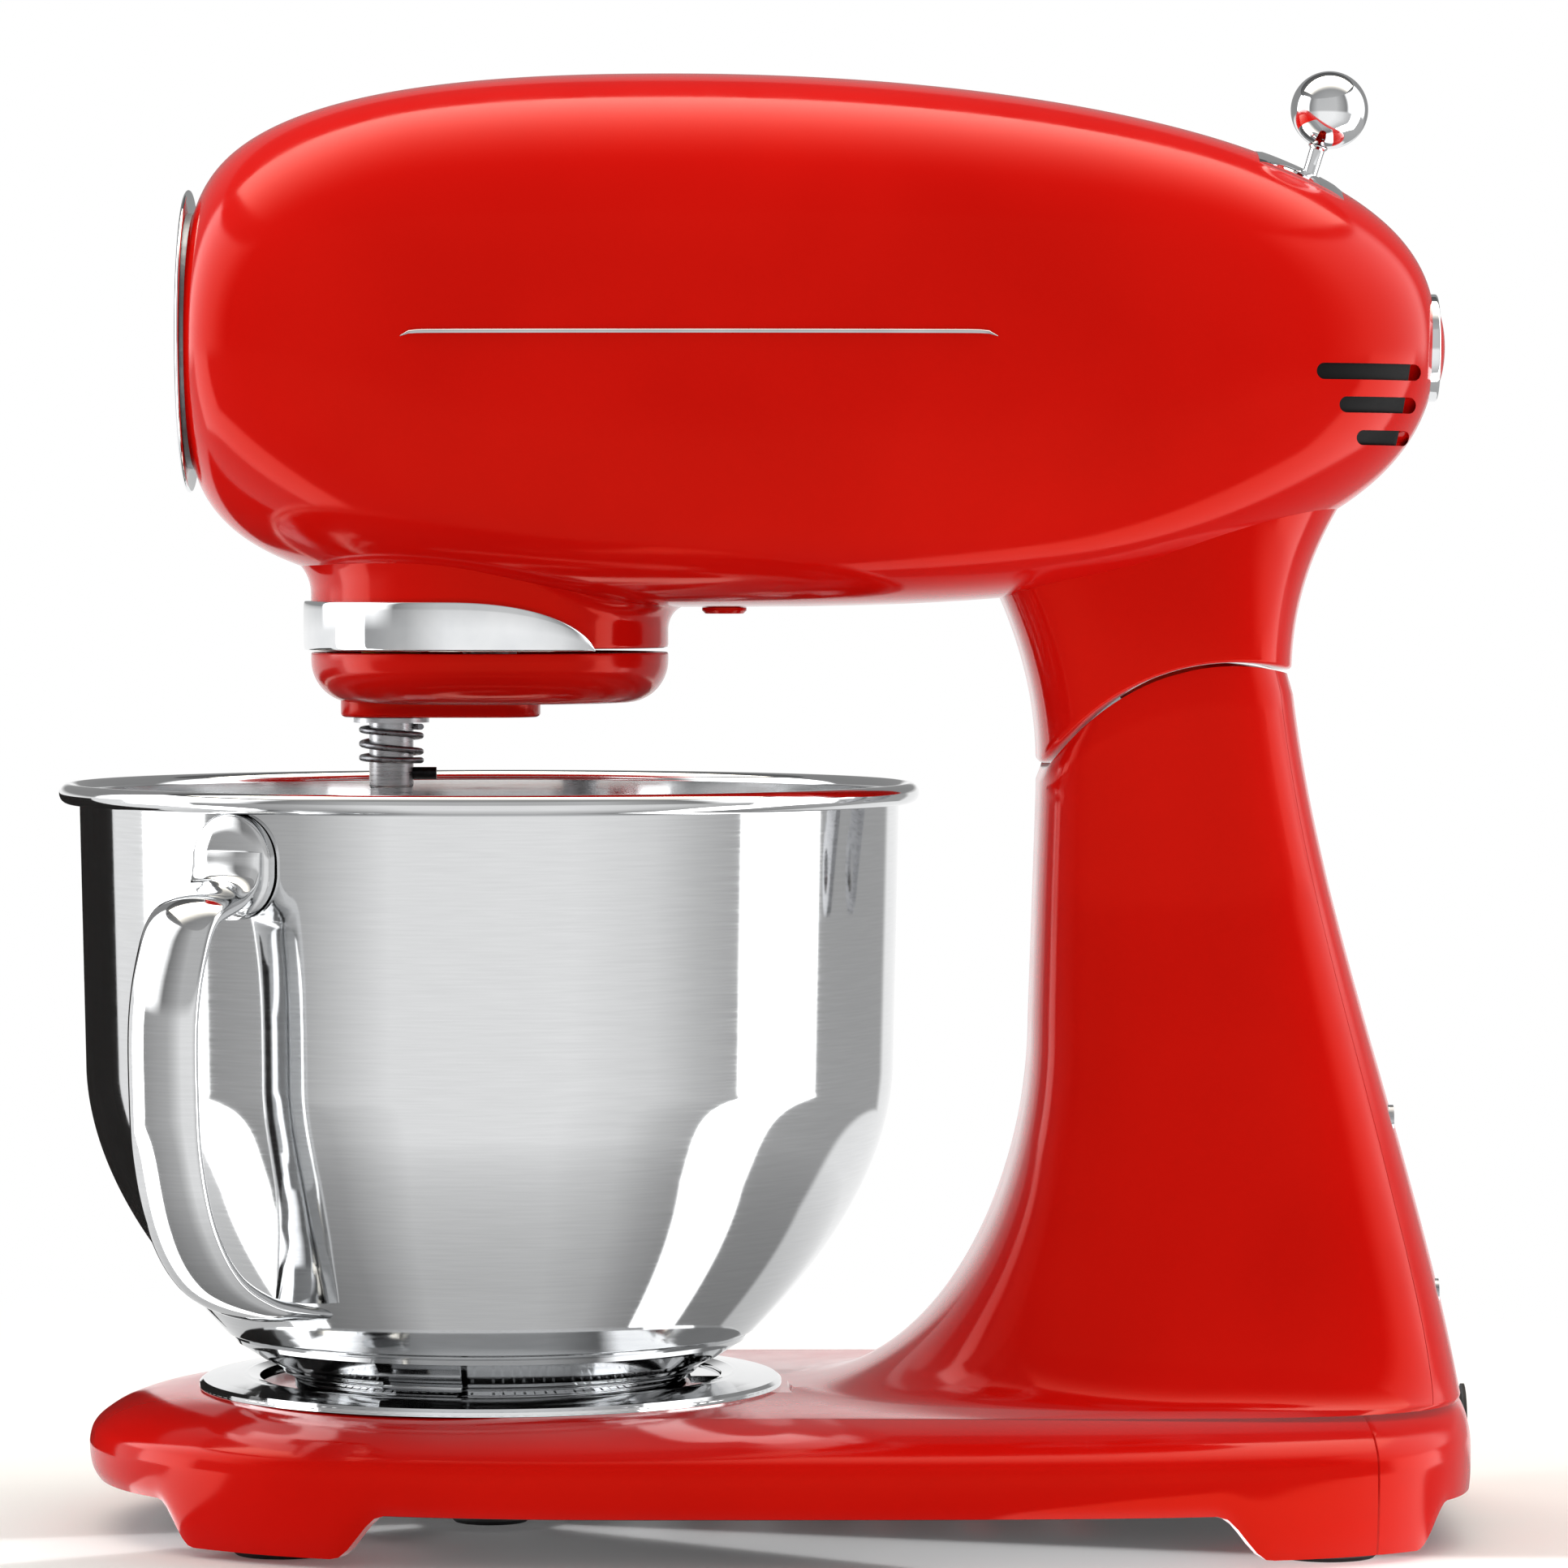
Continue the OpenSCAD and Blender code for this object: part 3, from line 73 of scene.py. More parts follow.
shell_low, shell_high = corners("head_shell")
cover_low, cover_high = corners("hub_cover")
ring_high = corners("button_ring")[1]
pin_low, pin_high = corners("hinge_pin")
base_low, base_high = corners("base_casting")
rear_high = corners("rear_cover")[1]
bowl_low, bowl_high = corners("bowl")
plate_high = corners("bowl_plate")[1]
housing_low, housing_high = corners("nose_housing")
knob_low, knob_high = corners("lever_knob")

throat_h = shell_low[2]
head_half = shell_high[1]
hub_z = (cover_low[2] + cover_high[2]) / 2
head_mid = hub_z - 0.7
head_low = head_mid - throat_h
head_crown = shell_high[2] - head_mid
head_front = -cover_low[0] - 1.4
head_rear = ring_high[0] - 0.5
belly_x = 48.0

pivot_x = (pin_low[0] + pin_high[0]) / 2
pivot_z = (pin_low[2] + pin_high[2]) / 2
seam_r = 59.2
seam_gap = 0.9
casting_wall = 3.6

base_front = -base_low[0]
base_half = base_high[1]
base_rear = rear_high[0]
plate_r = plate_high[0]
deck_h = plate_high[2] - 3.4
nose_r = housing_high[0]
nose_z = housing_low[2]
bowl_r = bowl_high[0]
rim_h = bowl_high[2]
print(f"head {head_front + head_rear:.1f} long, bowl {2 * bowl_r:.1f} across")

# %% [markdown]
# ## Curves
# Cast housings of this period style are drawn with superellipses: curves between an ellipse and a
# rectangle, whose power says how square they are. Two small functions give all of them, and `ease`
# and `mix` carry one size smoothly into another along the body.

# %% Curve helpers


def fall(u, p, q):
    """(1 - |u|^p)^(1/q): from 1 at the middle to 0 at the end, flatter for larger powers."""
    return np.maximum(0.0, 1 - np.clip(np.abs(u), 0, 1) ** p) ** (1 / q)


def ease(t):
    """3t^2 - 2t^3 between 0 and 1: a rise with level ends."""
    k = np.clip(t, 0.0, 1.0)
    return k * k * (3 - 2 * k)


def mix(a, b, t):
    """a + (b - a) t."""
    return a + (b - a) * t


def lobe(c, power):
    """A superellipse coordinate: |c|^(2/power) with the sign of c, where c is a cosine or a sine."""
    return np.sign(c) * np.abs(c) ** (2 / power)


def turn(n, start=0.0, stop=360.0, closed=True):
    """n angles in radians from start to stop degrees; a closed turn leaves out the last one."""
    return np.radians(np.linspace(start, stop, n, endpoint=not closed))


# %% [markdown]
# ## From a grid of points to a mesh
# Every skin below is a function of two parameters, so its points form a grid of rows and columns, and
# the faces are simply the grid's cells. A solid closes its two end rows with a fan, a hoop joins its
# last row to its first, and a shell is two grids with their edges joined. The enclosed volume, summed
# over the faces, says whether they point outwards, and if it is negative every face is turned round.

# %% Mesh builders


def cells(index, wrap_columns=True):
    """Quads between neighbouring rows and columns of a grid of vertex numbers."""
    right = np.roll(index, -1, 1)
    quads = np.stack([index[:-1], right[:-1], right[1:], index[1:]], -1)
    if not wrap_columns:
        quads = quads[:, :-1]
    return quads.reshape(-1, 4)


def volume(points, faces):
    """A sixth of the sum of a . (b x c) over the faces' first three and last three corners."""
    total = 0.0
    for face in (faces[:, [0, 1, 2]], faces[:, [0, 2, 3]]):
        a, b, c = points[face[:, 0]], points[face[:, 1]], points[face[:, 2]]
        total += np.einsum("ij,ij->", a, np.cross(b, c)) / 6
    return total


def make_piece(name, points, quads, fans, material, slot, body, replaced=(), crisp=38):
    """A smooth-shaded piece from points in millimetres, with the edges over `crisp` degrees kept sharp."""
    fans = np.asarray(fans, int).reshape(-1, 3)
    whole = np.vstack([quads, np.column_stack([fans, fans[:, 2]])])
    if volume(points, whole) < 0:
        quads = quads[:, ::-1]
        fans = fans[:, ::-1]
    mesh = bpy.data.meshes.new(name)
    mesh.from_pydata((points * MM).tolist(), [], quads.tolist() + fans.tolist())
    mesh.shade_smooth()
    mesh.set_sharp_from_angle(angle=np.radians(crisp))
    mesh.materials.append(material)
    piece = bpy.data.objects.new(name, mesh)
    scene.collection.objects.link(piece)
    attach(piece, body)
    if replaced:
        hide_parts(*replaced)
    print(f"{name}: {len(quads) + len(fans)} faces")
    return piece


def fan(row, centre, backwards=False):
    """Triangles from a ring of vertex numbers to a centre."""
    following = np.roll(row, -1)
    pair = (following, row) if backwards else (row, following)
    return np.stack([pair[0], pair[1], np.full(len(row), centre)], -1)


def solid(name, grid, *rest, **more):
    """A closed body from a grid of rings: its first and last ring are closed with a fan."""
    rows, columns = grid.shape[:2]
    index = np.arange(rows * columns).reshape(rows, columns)
    points = np.vstack([grid.reshape(-1, 3), grid[0].mean(0), grid[-1].mean(0)])
    fans = np.vstack([fan(index[0], rows * columns, True), fan(index[-1], rows * columns + 1)])
    return make_piece(name, points, cells(index), fans, *rest, **more)


def hoop(name, grid, *rest, **more):
    """A closed ring: the grid joins up both ways."""
    rows, columns = grid.shape[:2]
    index = np.arange(rows * columns).reshape(rows, columns)
    index = np.vstack([index, index[:1]])
    return make_piece(name, grid.reshape(-1, 3), cells(index), [], *rest, **more)


def shell(name, outer, inner, *rest, around=True, **more):
    """A wall between an outer and an inner grid of the same size, with its edges closed."""
    rows, columns = outer.shape[:2]
    out = np.arange(rows * columns).reshape(rows, columns)
    far = out + rows * columns
    quads = [cells(out, around), cells(far, around)[:, ::-1]]
    quads += [cells(np.stack([far[0], out[0]]), around), cells(np.stack([out[-1], far[-1]]), around)]
    if not around:
        sides = [np.stack([out[:, 0], far[:, 0]]), np.stack([far[:, -1], out[:, -1]])]
        quads += [cells(side, False) for side in sides]
    points = np.vstack([outer.reshape(-1, 3), inner.reshape(-1, 3)])
    return make_piece(name, points, np.vstack(quads), [], *rest, **more)


# %% [markdown]
# ## Profiles
# Turned and spun parts are a profile carried round an axis. A profile is given by its corners, each
# with the radius that its edge is rounded to, because no real edge is perfectly sharp: even a tenth of
# a millimetre catches a thin line of light.

# %% Profile helpers


def rounded(corners_in, steps=5, closed=False):
    """A path through (a, b, radius) corners, each rounded by the quadratic curve that leaves and meets
    its sides `radius` away from the corner."""
    corner = np.array(corners_in, float)
    before, after = np.roll(corner, 1, 0), np.roll(corner, -1, 0)
    t = np.linspace(0, 1, steps)[:, None]
    path = []
    for a, b, c in zip(before, corner, after):
        legs = [(b[:2] - a[:2]), (b[:2] - c[:2])]
        cut = [leg / max(np.hypot(*leg), 1e-9) * min(b[2], 0.49 * np.hypot(*leg)) for leg in legs]
        path.append((1 - t) ** 2 * (b[:2] - cut[0]) + 2 * t * (1 - t) * b[:2] + t ** 2 * (b[:2] - cut[1]))
    if not closed:
        path[0], path[-1] = corner[:1, :2], corner[-1:, :2]
    return np.vstack(path)


def arc(centre, radius, start, stop, steps=12):
    """Points of a circle from start to stop degrees, as (a, b)."""
    a = np.radians(np.linspace(start, stop, steps))
    return np.column_stack([centre[0] + radius * np.cos(a), centre[1] + radius * np.sin(a)])


def spin(profile, around=96, centre=(0.0, 0.0)):
    """A profile of (radius, height) carried round a vertical axis: x = r cos a, y = r sin a."""
    a = turn(around)
    r, h = profile[:, 0][:, None], profile[:, 1][:, None]
    flat = np.zeros_like(a)
    return np.stack([centre[0] + r * np.cos(a), centre[1] + r * np.sin(a), h + flat], -1)


def lay_down(grid, x, z):
    """Turns a vertical spin into one about +X that starts at x, at height z."""
    return np.stack([x + grid[..., 2], grid[..., 1], z - grid[..., 0]], -1)


# %% [markdown]
# ## Finishes
# A finish starts from what the material is and how its surface was made. One function turns the usual
# sRGB hex colours into the linear numbers that shaders use, and one function adds a node with its
# settings and links. Patterns read Object coordinates, which are metres here, so a noise scale is one
# over the size of a speck in metres.

# %% Node helpers


def colour(code):
    """sRGB hex text to a linear colour with alpha 1."""
    part = np.array([int(code[k:k + 2], 16) for k in (1, 3, 5)]) / 255
    linear = np.where(part <= 0.04045, part / 12.92, ((part + 0.055) / 1.055) ** 2.4)
    return (*linear, 1.0)


def add(tree, kind, inputs=(), stops=(), **settings):
    """Adds a shader node with its settings. An input that is given a socket is linked to it, and any
    other is set. A grey ramp also takes its stops, as (position, brightness)."""
    node = tree.nodes.new("ShaderNode" + kind)
    for name, value in settings.items():
        setattr(node, name, value)
    for name, value in dict(inputs).items():
        if isinstance(value, bpy.types.NodeSocket):
            tree.links.new(value, node.inputs[name])
        else:
            node.inputs[name].default_value = value
    if stops:
        while len(node.color_ramp.elements) < len(stops):
            node.color_ramp.elements.new(0.5)
        for element, (position, level) in zip(node.color_ramp.elements, stops):
            element.position = position
            element.color = (level, level, level, 1)
    return node


def start(name, **constants):
    """A new material with its tree and shader; constants are set on the shader's own sockets."""
    material = bpy.data.materials.new(name)
    material.use_nodes = True
    tree = material.node_tree
    shader = tree.nodes["Principled BSDF"]
    for key, value in constants.items():
        shader.inputs[key.replace("_", " ")].default_value = value
    return material, tree, shader


def finished(name, deep, bright, rough, grains, depth_mm, bump, stretch=(1, 1, 1), **constants):
    """A finish in which noise drifts the colour from deep to bright, drifts the roughness between the
    two values of rough, and stands up as a relief of depth_mm. The three grains are each the size of a
    speck in millimetres with the noise's detail, and stretch draws them out along the axes."""
    material, tree, shader = start(name, **constants)
    where = add(tree, "TexCoord").outputs["Object"]
    along = add(tree, "Mapping", {"Vector": where, "Scale": stretch}).outputs["Vector"]
    noise = {}
    for size_mm, detail in dict.fromkeys(grains):
        inputs = {"Vector": along, "Scale": 1 / (size_mm * MM), "Detail": detail}
        noise[size_mm, detail] = add(tree, "TexNoise", inputs).outputs["Fac"]
    tint, gloss, height = [noise[grain] for grain in grains]
    # Noise keeps near its middle, so 0.3 to 0.7 is spread over the whole range.
    middle = {"From Min": 0.3, "From Max": 0.7}
    share = add(tree, "MapRange", {"Value": tint, **middle}).outputs["Result"]
    mixed = add(tree, "Mix", {"Factor": share, "A": colour(deep), "B": colour(bright)}, data_type="RGBA")
    matt = add(tree, "MapRange", {"Value": gloss, **middle, "To Min": rough[0], "To Max": rough[1]})
    relief = add(tree, "Bump", {"Height": height, "Distance": depth_mm * MM, "Strength": bump})
    tree.links.new(mixed.outputs["Result"], shader.inputs["Base Color"])
    tree.links.new(matt.outputs["Result"], shader.inputs["Roughness"])
    tree.links.new(relief.outputs["Normal"], shader.inputs["Normal"])
    return material


# %% [markdown]
# ### Paint, plastic and bright metal
# The castings are sprayed and baked with a deep red enamel. Baked enamel flows into a skin that is
# very glossy but never quite flat: it has the faint "orange peel" of the spray, a couple of
# millimetres across. The cap and the button are moulded ABS of the same red, a touch lighter and
# softer. Chrome on the trim, and the bowl's polished stainless steel, are mirrors whose character is
# in tiny changes of roughness; the bowl also keeps the fine rings of the wheel that polished it.

# %% Red finishes


def glossy_red(name, deep, bright, roughness, peel_mm, peel_depth_mm):
    """Glossy red: a slow colour drift over 60 mm, roughness changes over 9 mm, and orange peel."""
    grains = ((60, 2.0), (9, 4.0), (peel_mm, 2.0))
    return finished(name, deep, bright, (roughness, roughness + 0.05), grains, peel_depth_mm, 0.35,
                    Metallic=0.0, IOR=1.5, Specular_Tint=colour("#FF5A3C"))


finish = {
    "red_enamel": glossy_red("baked red enamel", "#D00E08", "#DA120B", 0.09, 2.4, 0.012),
    "red_plastic": glossy_red("moulded red ABS", "#D21009", "#DC140D", 0.13, 1.6, 0.01),
}

# %% Bright metals


def metal(name, deep, bright, roughness, spread, grain_mm, stretch, depth_mm):
    """Metal with one grain for colour, roughness and relief, stretched along the way it was worked."""
    return finished(name, deep, bright, (roughness, roughness + spread), ((grain_mm, 4.0),) * 3, depth_mm,
                    0.25, stretch, Metallic=1.0)


# Real polishing rings are far under 0.1 mm apart; they are drawn about 0.6 mm apart so that they show.
lathe = (0.04, 0.04, 1.0)
even = (1.0, 1.0, 1.0)
stacked = (1, 0.02, 0.02)
finish |= {
    "chrome": metal("bright chrome plate", "#E2E4E6", "#F0F1F2", 0.03, 0.03, 14, even, 0.004),
    "polished_steel": metal("polished stainless steel", "#D6D7D8", "#DCDDDE", 0.05, 0.03, 0.6, lathe, 0.0006),
    "steel": metal("turned steel", "#9C9DA0", "#B9BABD", 0.22, 0.16, 0.5, lathe, 0.02),
    "spring_steel": metal("drawn spring wire", "#6E6F73", "#8F9094", 0.25, 0.15, 1.5, even, 0.02),
    "die_cast": metal("die-cast aluminium", "#9DA0A4", "#B5B8BC", 0.38, 0.2, 1.2, even, 0.05),
    "bronze": metal("sintered bronze", "#9A6F34", "#B98A48", 0.4, 0.2, 0.4, even, 0.03),
    "copper": metal("enamelled copper winding", "#8E4A1C", "#C4713A", 0.3, 0.15, 0.7, (0.1, 1, 1), 0.12),
    "lamination": metal("stacked electrical steel", "#4A4643", "#6A645F", 0.45, 0.2, 0.5, stacked, 0.06),
    "black_oxide": metal("blackened steel", "#1A1A1B", "#2C2C2E", 0.3, 0.2, 1.0, even, 0.02),
}

# %% [markdown]
# ### Plastics, rubber and paint inside
# The rest are quiet materials: moulded polypropylene and rubber with a fine matt texture, a nylon fan,
# a green circuit board with its weave, and dark painted sheet under the base.

# %% Quiet finishes


def dull(name, deep, bright, ior, roughness, grain_mm, depth_mm, stretch=(1, 1, 1), shine=0.5):
    """A non-metal with an even moulded or painted texture. A shine under 0.5 is painted shade: it dims the
    reflection of a part in a recess, which little light reaches."""
    return finished(name, deep, bright, (roughness - 0.06, roughness + 0.06), ((grain_mm, 4.0),) * 3,
                    depth_mm, 0.5, stretch, Metallic=0.0, IOR=ior, Specular_IOR_Level=shine)


finish |= {
    # The black plastic's low shine is painted shade: its dimmed reflection keeps the vents and other recesses
    # dark.
    "black_plastic": dull("black polypropylene", "#050505", "#0B0B0C", 1.49, 0.5, 0.8, 0.03, shine=0.1),
    "rubber": dull("moulded rubber", "#131313", "#1D1D1D", 1.52, 0.7, 0.6, 0.04),
    "fan_plastic": dull("natural nylon", "#D5D3C8", "#E4E2D8", 1.53, 0.4, 3.0, 0.02),
    "board": dull("glass-epoxy circuit board", "#1D4A2A", "#2B6338", 1.55, 0.35, 0.5, 0.03, (1, 0.2, 1)),
    "sheet_dark": dull("dark painted sheet", "#242426", "#303033", 1.5, 0.45, 1.2, 0.03),
}
slot_of = {part["node"]: part["material_slot"] for part in frame["record"]["subparts"]}
for node, thing in nodes.items():
    thing.data.materials.clear()
    thing.data.materials.append(finish[slot_of[node]])
print(f"{len(finish)} finishes on {len(nodes)} frame nodes")


def dress(slot, body, *replaced, **more):
    """The finish, slot, body and replaced nodes of a new piece."""
    return dict(material=finish[slot], slot=slot, body=body, replaced=replaced, **more)


# %% [markdown]
# ## The head
# The head is one big casting, fullest above the bowl and tapering like a fish towards the back. Along
# its length four superellipses fall away from the fullest section: the crown, the belly and the two
# sides. Across its length each section is a superellipse too, rounder above and squarer below. The
# parameter along the body is an angle, so the rows crowd together where the ends turn in.

# %% The head's surface


# Each reach of the head, with the powers of its fall towards the front and towards the back.
front_fall = 2.4
sides = (head_half, (front_fall, 6.67), (2.2, 2.6))
belly = (head_low, (front_fall, 4.5), (3, 2.33))
crown = (head_crown, (front_fall, 4.5), (2, 2.56))


def head_reach(x):
    """Half width, drop and rise of the head at x."""
    fore = x < belly_x
    u = np.where(fore, (belly_x - x) / (belly_x + head_front), (x - belly_x) / (head_rear - belly_x))
    return [reach * np.where(fore, fall(u, *front), fall(u, *back))
            for reach, front, back in (sides, belly, crown)]


def power_above(x):
    """How square a section is above its widest line."""
    return mix(mix(2, 2.5, ease((x + head_front) / 60)), 2, ease((x - head_rear + 60) / 60))


def power_below(x):
    """How square a section is below its widest line."""
    return mix(mix(2, 4.2, ease((x + head_front) / 110)), 2, ease((x - head_rear + 95) / 95))


def head_skin(x, a, out=0.0):
    """The point of the section at x for angle a, `out` millimetres outside the skin."""
    half, drop, rise = head_reach(x)
    below = np.sin(a) < 0
    power = np.where(below, power_below(x), power_above(x))
    y = (half + out) * lobe(np.cos(a), power)
    z = head_mid + (np.where(below, drop, rise) + out) * lobe(np.sin(a), power)
    return np.stack([x + 0 * a, y, z], -1)


def head_x(s):
    """x for s from 0, the front, to 1, the rear: cosine spacing about the fullest section."""
    fore = s < 0.5
    swing = np.cos(np.where(fore, np.pi * s, np.pi * (1 - s)))
    return np.where(fore, belly_x - (belly_x + head_front) * np.abs(swing) ** (2 / front_fall),
                    belly_x + (head_rear - belly_x) * swing)


def even_turn(n, power=2.4):
    """Angles that space points evenly round a superellipse of that power."""
    fine = turn(4000)
    xy = np.stack([lobe(np.cos(fine), power), lobe(np.sin(fine), power)], -1)
    run = np.concatenate([[0], np.cumsum(np.linalg.norm(np.diff(xy, axis=0, append=xy[:1]), axis=1))])
    return np.interp(np.arange(n) / n * run[-1], run, np.append(fine, 2 * np.pi))


front_s = 0.066
s = np.concatenate([np.linspace(front_s, 0.5, 60), np.linspace(0.5, 0.992, 72)[1:]])
a = even_turn(160, 2.9)
head_grid = head_skin(head_x(s)[:, None], a[None, :])
rim = head_grid[0]
middle = rim.mean(0)
flange = np.stack([middle + (rim - middle) * k + np.array([dx, 0, 0])
                   for k, dx in [(0.5, -0.6), (0.93, -0.6), (0.975, -0.5), (0.993, -0.25)]])
head_grid = np.vstack([flange, head_grid])
head = solid("head_skin", head_grid, **dress("red_enamel", "head", "head_shell"))

# %% [markdown]
# ### Slots in the head
# On the real casting three vents on each side, the lever's slot in the crown and the button's seat at
# the back go right through. Here the skin is one closed body, so Blender's exact Boolean modifier cuts
# each as a pocket, deep enough that the wall's thickness shows inside. Each cutter is a stadium or a
# cylinder carried through the skin.

# %% Cut the slots


def stadium(length, width, n=40):
    """The outline of a slot with round ends, as (a, b) about its middle, length over all."""
    t = turn(n)
    straight = (length - width) / 2
    return np.column_stack([np.sign(np.cos(t)) * straight + width / 2 * np.cos(t), width / 2 * np.sin(t)])


def plain_mesh(name, grid):
    """A cutter, which is never shown."""
    cutter = solid(name, grid, finish["black_plastic"], "black_plastic", "head")
    cutter.hide_render = True
    return cutter


def cut(piece, cutters):
    """Takes the cutters out of the piece for good."""
    for cutter in cutters:
        change = piece.modifiers.new("cut", "BOOLEAN")
        change.operation = "DIFFERENCE"
        change.solver = "EXACT"
        change.object = cutter
    shown = piece.evaluated_get(bpy.context.evaluated_depsgraph_get())
    result = bpy.data.meshes.new_from_object(shown)
    piece.modifiers.clear()
    piece.data = result
    result.set_sharp_from_angle(angle=np.radians(38))
    print(f"{piece.name}: {len(result.polygons)} faces after {len(cutters)} cuts")


# Each vent's front end, its height from the widest line, and its width.
vents = [(head_rear - 33.7, -8.0, 4.2), (head_rear - 27.6, -16.4, 4.1), (head_rear - 22.7, -24.7, 3.8)]
vent_end = head_rear - 5.4
vent_depth = 3.4
clear = 8.0
cutters = []
for i, (front_x, dz, tall) in enumerate(vents):
    outline = stadium(vent_end - i - front_x, tall)
    for side in (-1, 1):
        x = outline[:, 0] + (vent_end - i + front_x) / 2
        z = outline[:, 1] + head_mid + dz
        half, drop, _ = head_reach(x)
        skin_y = half * (1 - (np.abs(z - head_mid) / drop) ** power_below(x)) ** (1 / power_below(x))
        rows = [np.stack([x, side * (skin_y + out), z], -1) for out in (clear, -vent_depth)]
        cutters.append(plain_mesh(f"vent_cutter_{i}_{side + 1}", np.array(rows)))

knob_centre = (knob_low + knob_high) / 2
lean = np.radians(17)
lean_way = np.array([np.sin(lean), 0, np.cos(lean)])
stem_foot = 26.0
slot_length, slot_width = 23.6, 5.0
slot_outline = stadium(slot_length, slot_width)
across = np.array([np.cos(lean), 0, -np.sin(lean)])
slot_plan = slot_outline[:, 1:] * across + slot_outline[:, :1] * np.array([0, 1, 0])
slot_rows = [knob_centre - lean_way * k + slot_plan for k in (stem_foot, 4.0)]
lever_cutter = plain_mesh("lever_cutter", np.array(slot_rows))
button_z = (corners("button_ring")[0][2] + ring_high[2]) / 2
button_seat_r = (ring_high[2] - corners("button_ring")[0][2]) / 2 + 0.15
seat_depth, seat_length = 16.0, 36.0
seat_wall = np.array([[button_seat_r, 0.0], [button_seat_r, seat_length]])
seat = lay_down(spin(seat_wall), head_rear - seat_depth, button_z)
cutters += [lever_cutter, plain_mesh("button_cutter", seat)]
cut(head, cutters)

# %% [markdown]
# ### Dark liners behind the vents
# Seen from outside, a vent is black because a dark plastic liner stands behind it, and the liner's dimmed
# shine is painted shade that keeps it black. The liner is the head's own surface again, a little further in,
# cut to the patch that the vents cover.

# %% Vent liners


def side_patch(x0, x1, z0, z1, out, side, n=(28, 18)):
    """The head's side between two x and two heights, moved `out` outwards."""
    x = np.linspace(x0, x1, n[0])[:, None]
    z = np.linspace(z0, z1, n[1])[None, :]
    x = x - (x - x0) / (x1 - x0) * (head_mid - z) * 0.14
    half, drop, rise = head_reach(x)
    below = z < head_mid
    power = np.where(below, power_below(x), power_above(x))
    share = np.clip(np.abs(z - head_mid) / np.where(below, drop, rise), 0, 0.999)
    y = half * (1 - share ** power) ** (1 / power) + out
    return np.stack([x, side * y, z + 0 * x], -1)


for side, label in ((-1, "near"), (1, "far")):
    patch = [side_patch(head_rear - 37, head_rear - 7.5, head_mid - 29, head_mid - 4, out, side)
             for out in (-1.5, -2.6)]
    replaced = ("vent_liners",) if side < 0 else ()
    shell(f"vent_liner_{label}", *patch, around=False, **dress("black_plastic", "head", *replaced))

# %% [markdown]
# ### Bright trims on the head
# A slim plain bar runs along each side, and a band crosses the crown round the lever's slot. Both lie
# on the skin and follow it exactly, because they are worked out from the same function.

# %% Side bars and speed band
trim_low, trim_high = corners("side_trims")
bar_z = (trim_low[2] + trim_high[2]) / 2
for side, label in ((-1, "near"), (1, "far")):
    t = np.linspace(0, 1, 70)
    x = mix(trim_low[0], trim_high[0], t)
    taper = np.sqrt(np.clip(1 - np.abs(2 * t - 1) ** 40, 0.02, 1))
    a = turn(20)
    z = bar_z + 2.0 * taper[:, None] * lobe(np.sin(a), 3)[None, :]
    half, _, rise = head_reach(x[:, None])
    power = power_above(x[:, None])
    skin_y = half * (1 - ((z - head_mid) / rise) ** power) ** (1 / power)
    proud = 0.15 + 0.9 * taper[:, None] * lobe(np.cos(a), 3)[None, :]
    grid = np.stack([x[:, None] + 0 * z, side * (skin_y + proud), z], -1)
    replaced = ("side_trims",) if side < 0 else ()
    solid(f"side_bar_{label}", grid, **dress("chrome", "head", *replaced))

band_low, band_high = corners("speed_band")
band_x = np.linspace(band_low[0], band_high[0], 14)[:, None]
band_spread = np.degrees(np.arcsin(band_high[1] / head_reach(belly_x + 150)[0]))
band_a = np.radians(np.linspace(90 - band_spread, 90 + band_spread, 60))
edge = 0.62 * np.sqrt(np.clip(1 - np.abs(np.linspace(-1, 1, 14)) ** 8, 0.02, 1))[:, None]
band_outer = head_skin(band_x + 0 * band_a, band_a + 0 * band_x, edge)
band_inner = head_skin(band_x + 0 * band_a, band_a + 0 * band_x, -0.6)
speed_band = shell("crown_band", band_outer, band_inner, around=False,
                   **dress("chrome", "head", "speed_band"))
cut(speed_band, [lever_cutter])
for cutter in cutters:
    bpy.data.objects.remove(cutter)

# %% [markdown]
# ## The neck and the stand
# Head and stand meet at a round joint about the hinge pin, so the head can tilt without a gap. Both
# castings run up to that circle: the height of each column of points is found by stepping towards the
# circle until it stays put. The last millimetres roll inwards, which is the soft edge that draws a
# thin line of light along the joint.

# %% The neck


def seam_height(x_at, z_guess, radius):
    """Height where a column of points, with x given by x_at(z), meets the circle about the pin."""
    z = z_guess
    for _ in range(30):
        z = pivot_z + np.sqrt(np.maximum(radius ** 2 - (x_at(z) - pivot_x) ** 2, 0))
    return z


lip_r = 1.3


def lip(distance):
    """How far an edge rounded to lip_r has rolled in at that distance from its end."""
    k = np.clip(distance, 0, lip_r)
    return lip_r - np.sqrt(lip_r ** 2 - (lip_r - k) ** 2)


column_half_top = 39.0
neck_top = throat_h + 28
waist_x = 142.0
front_power, rear_power = 4.2, 3.4


def spread(z, far, below, over):
    """far times the square of the height: it starts `below` under the throat's top, and grows to `far`
    over the height `over`."""
    return far * (np.maximum(0, z - throat_h + below) / over) ** 2


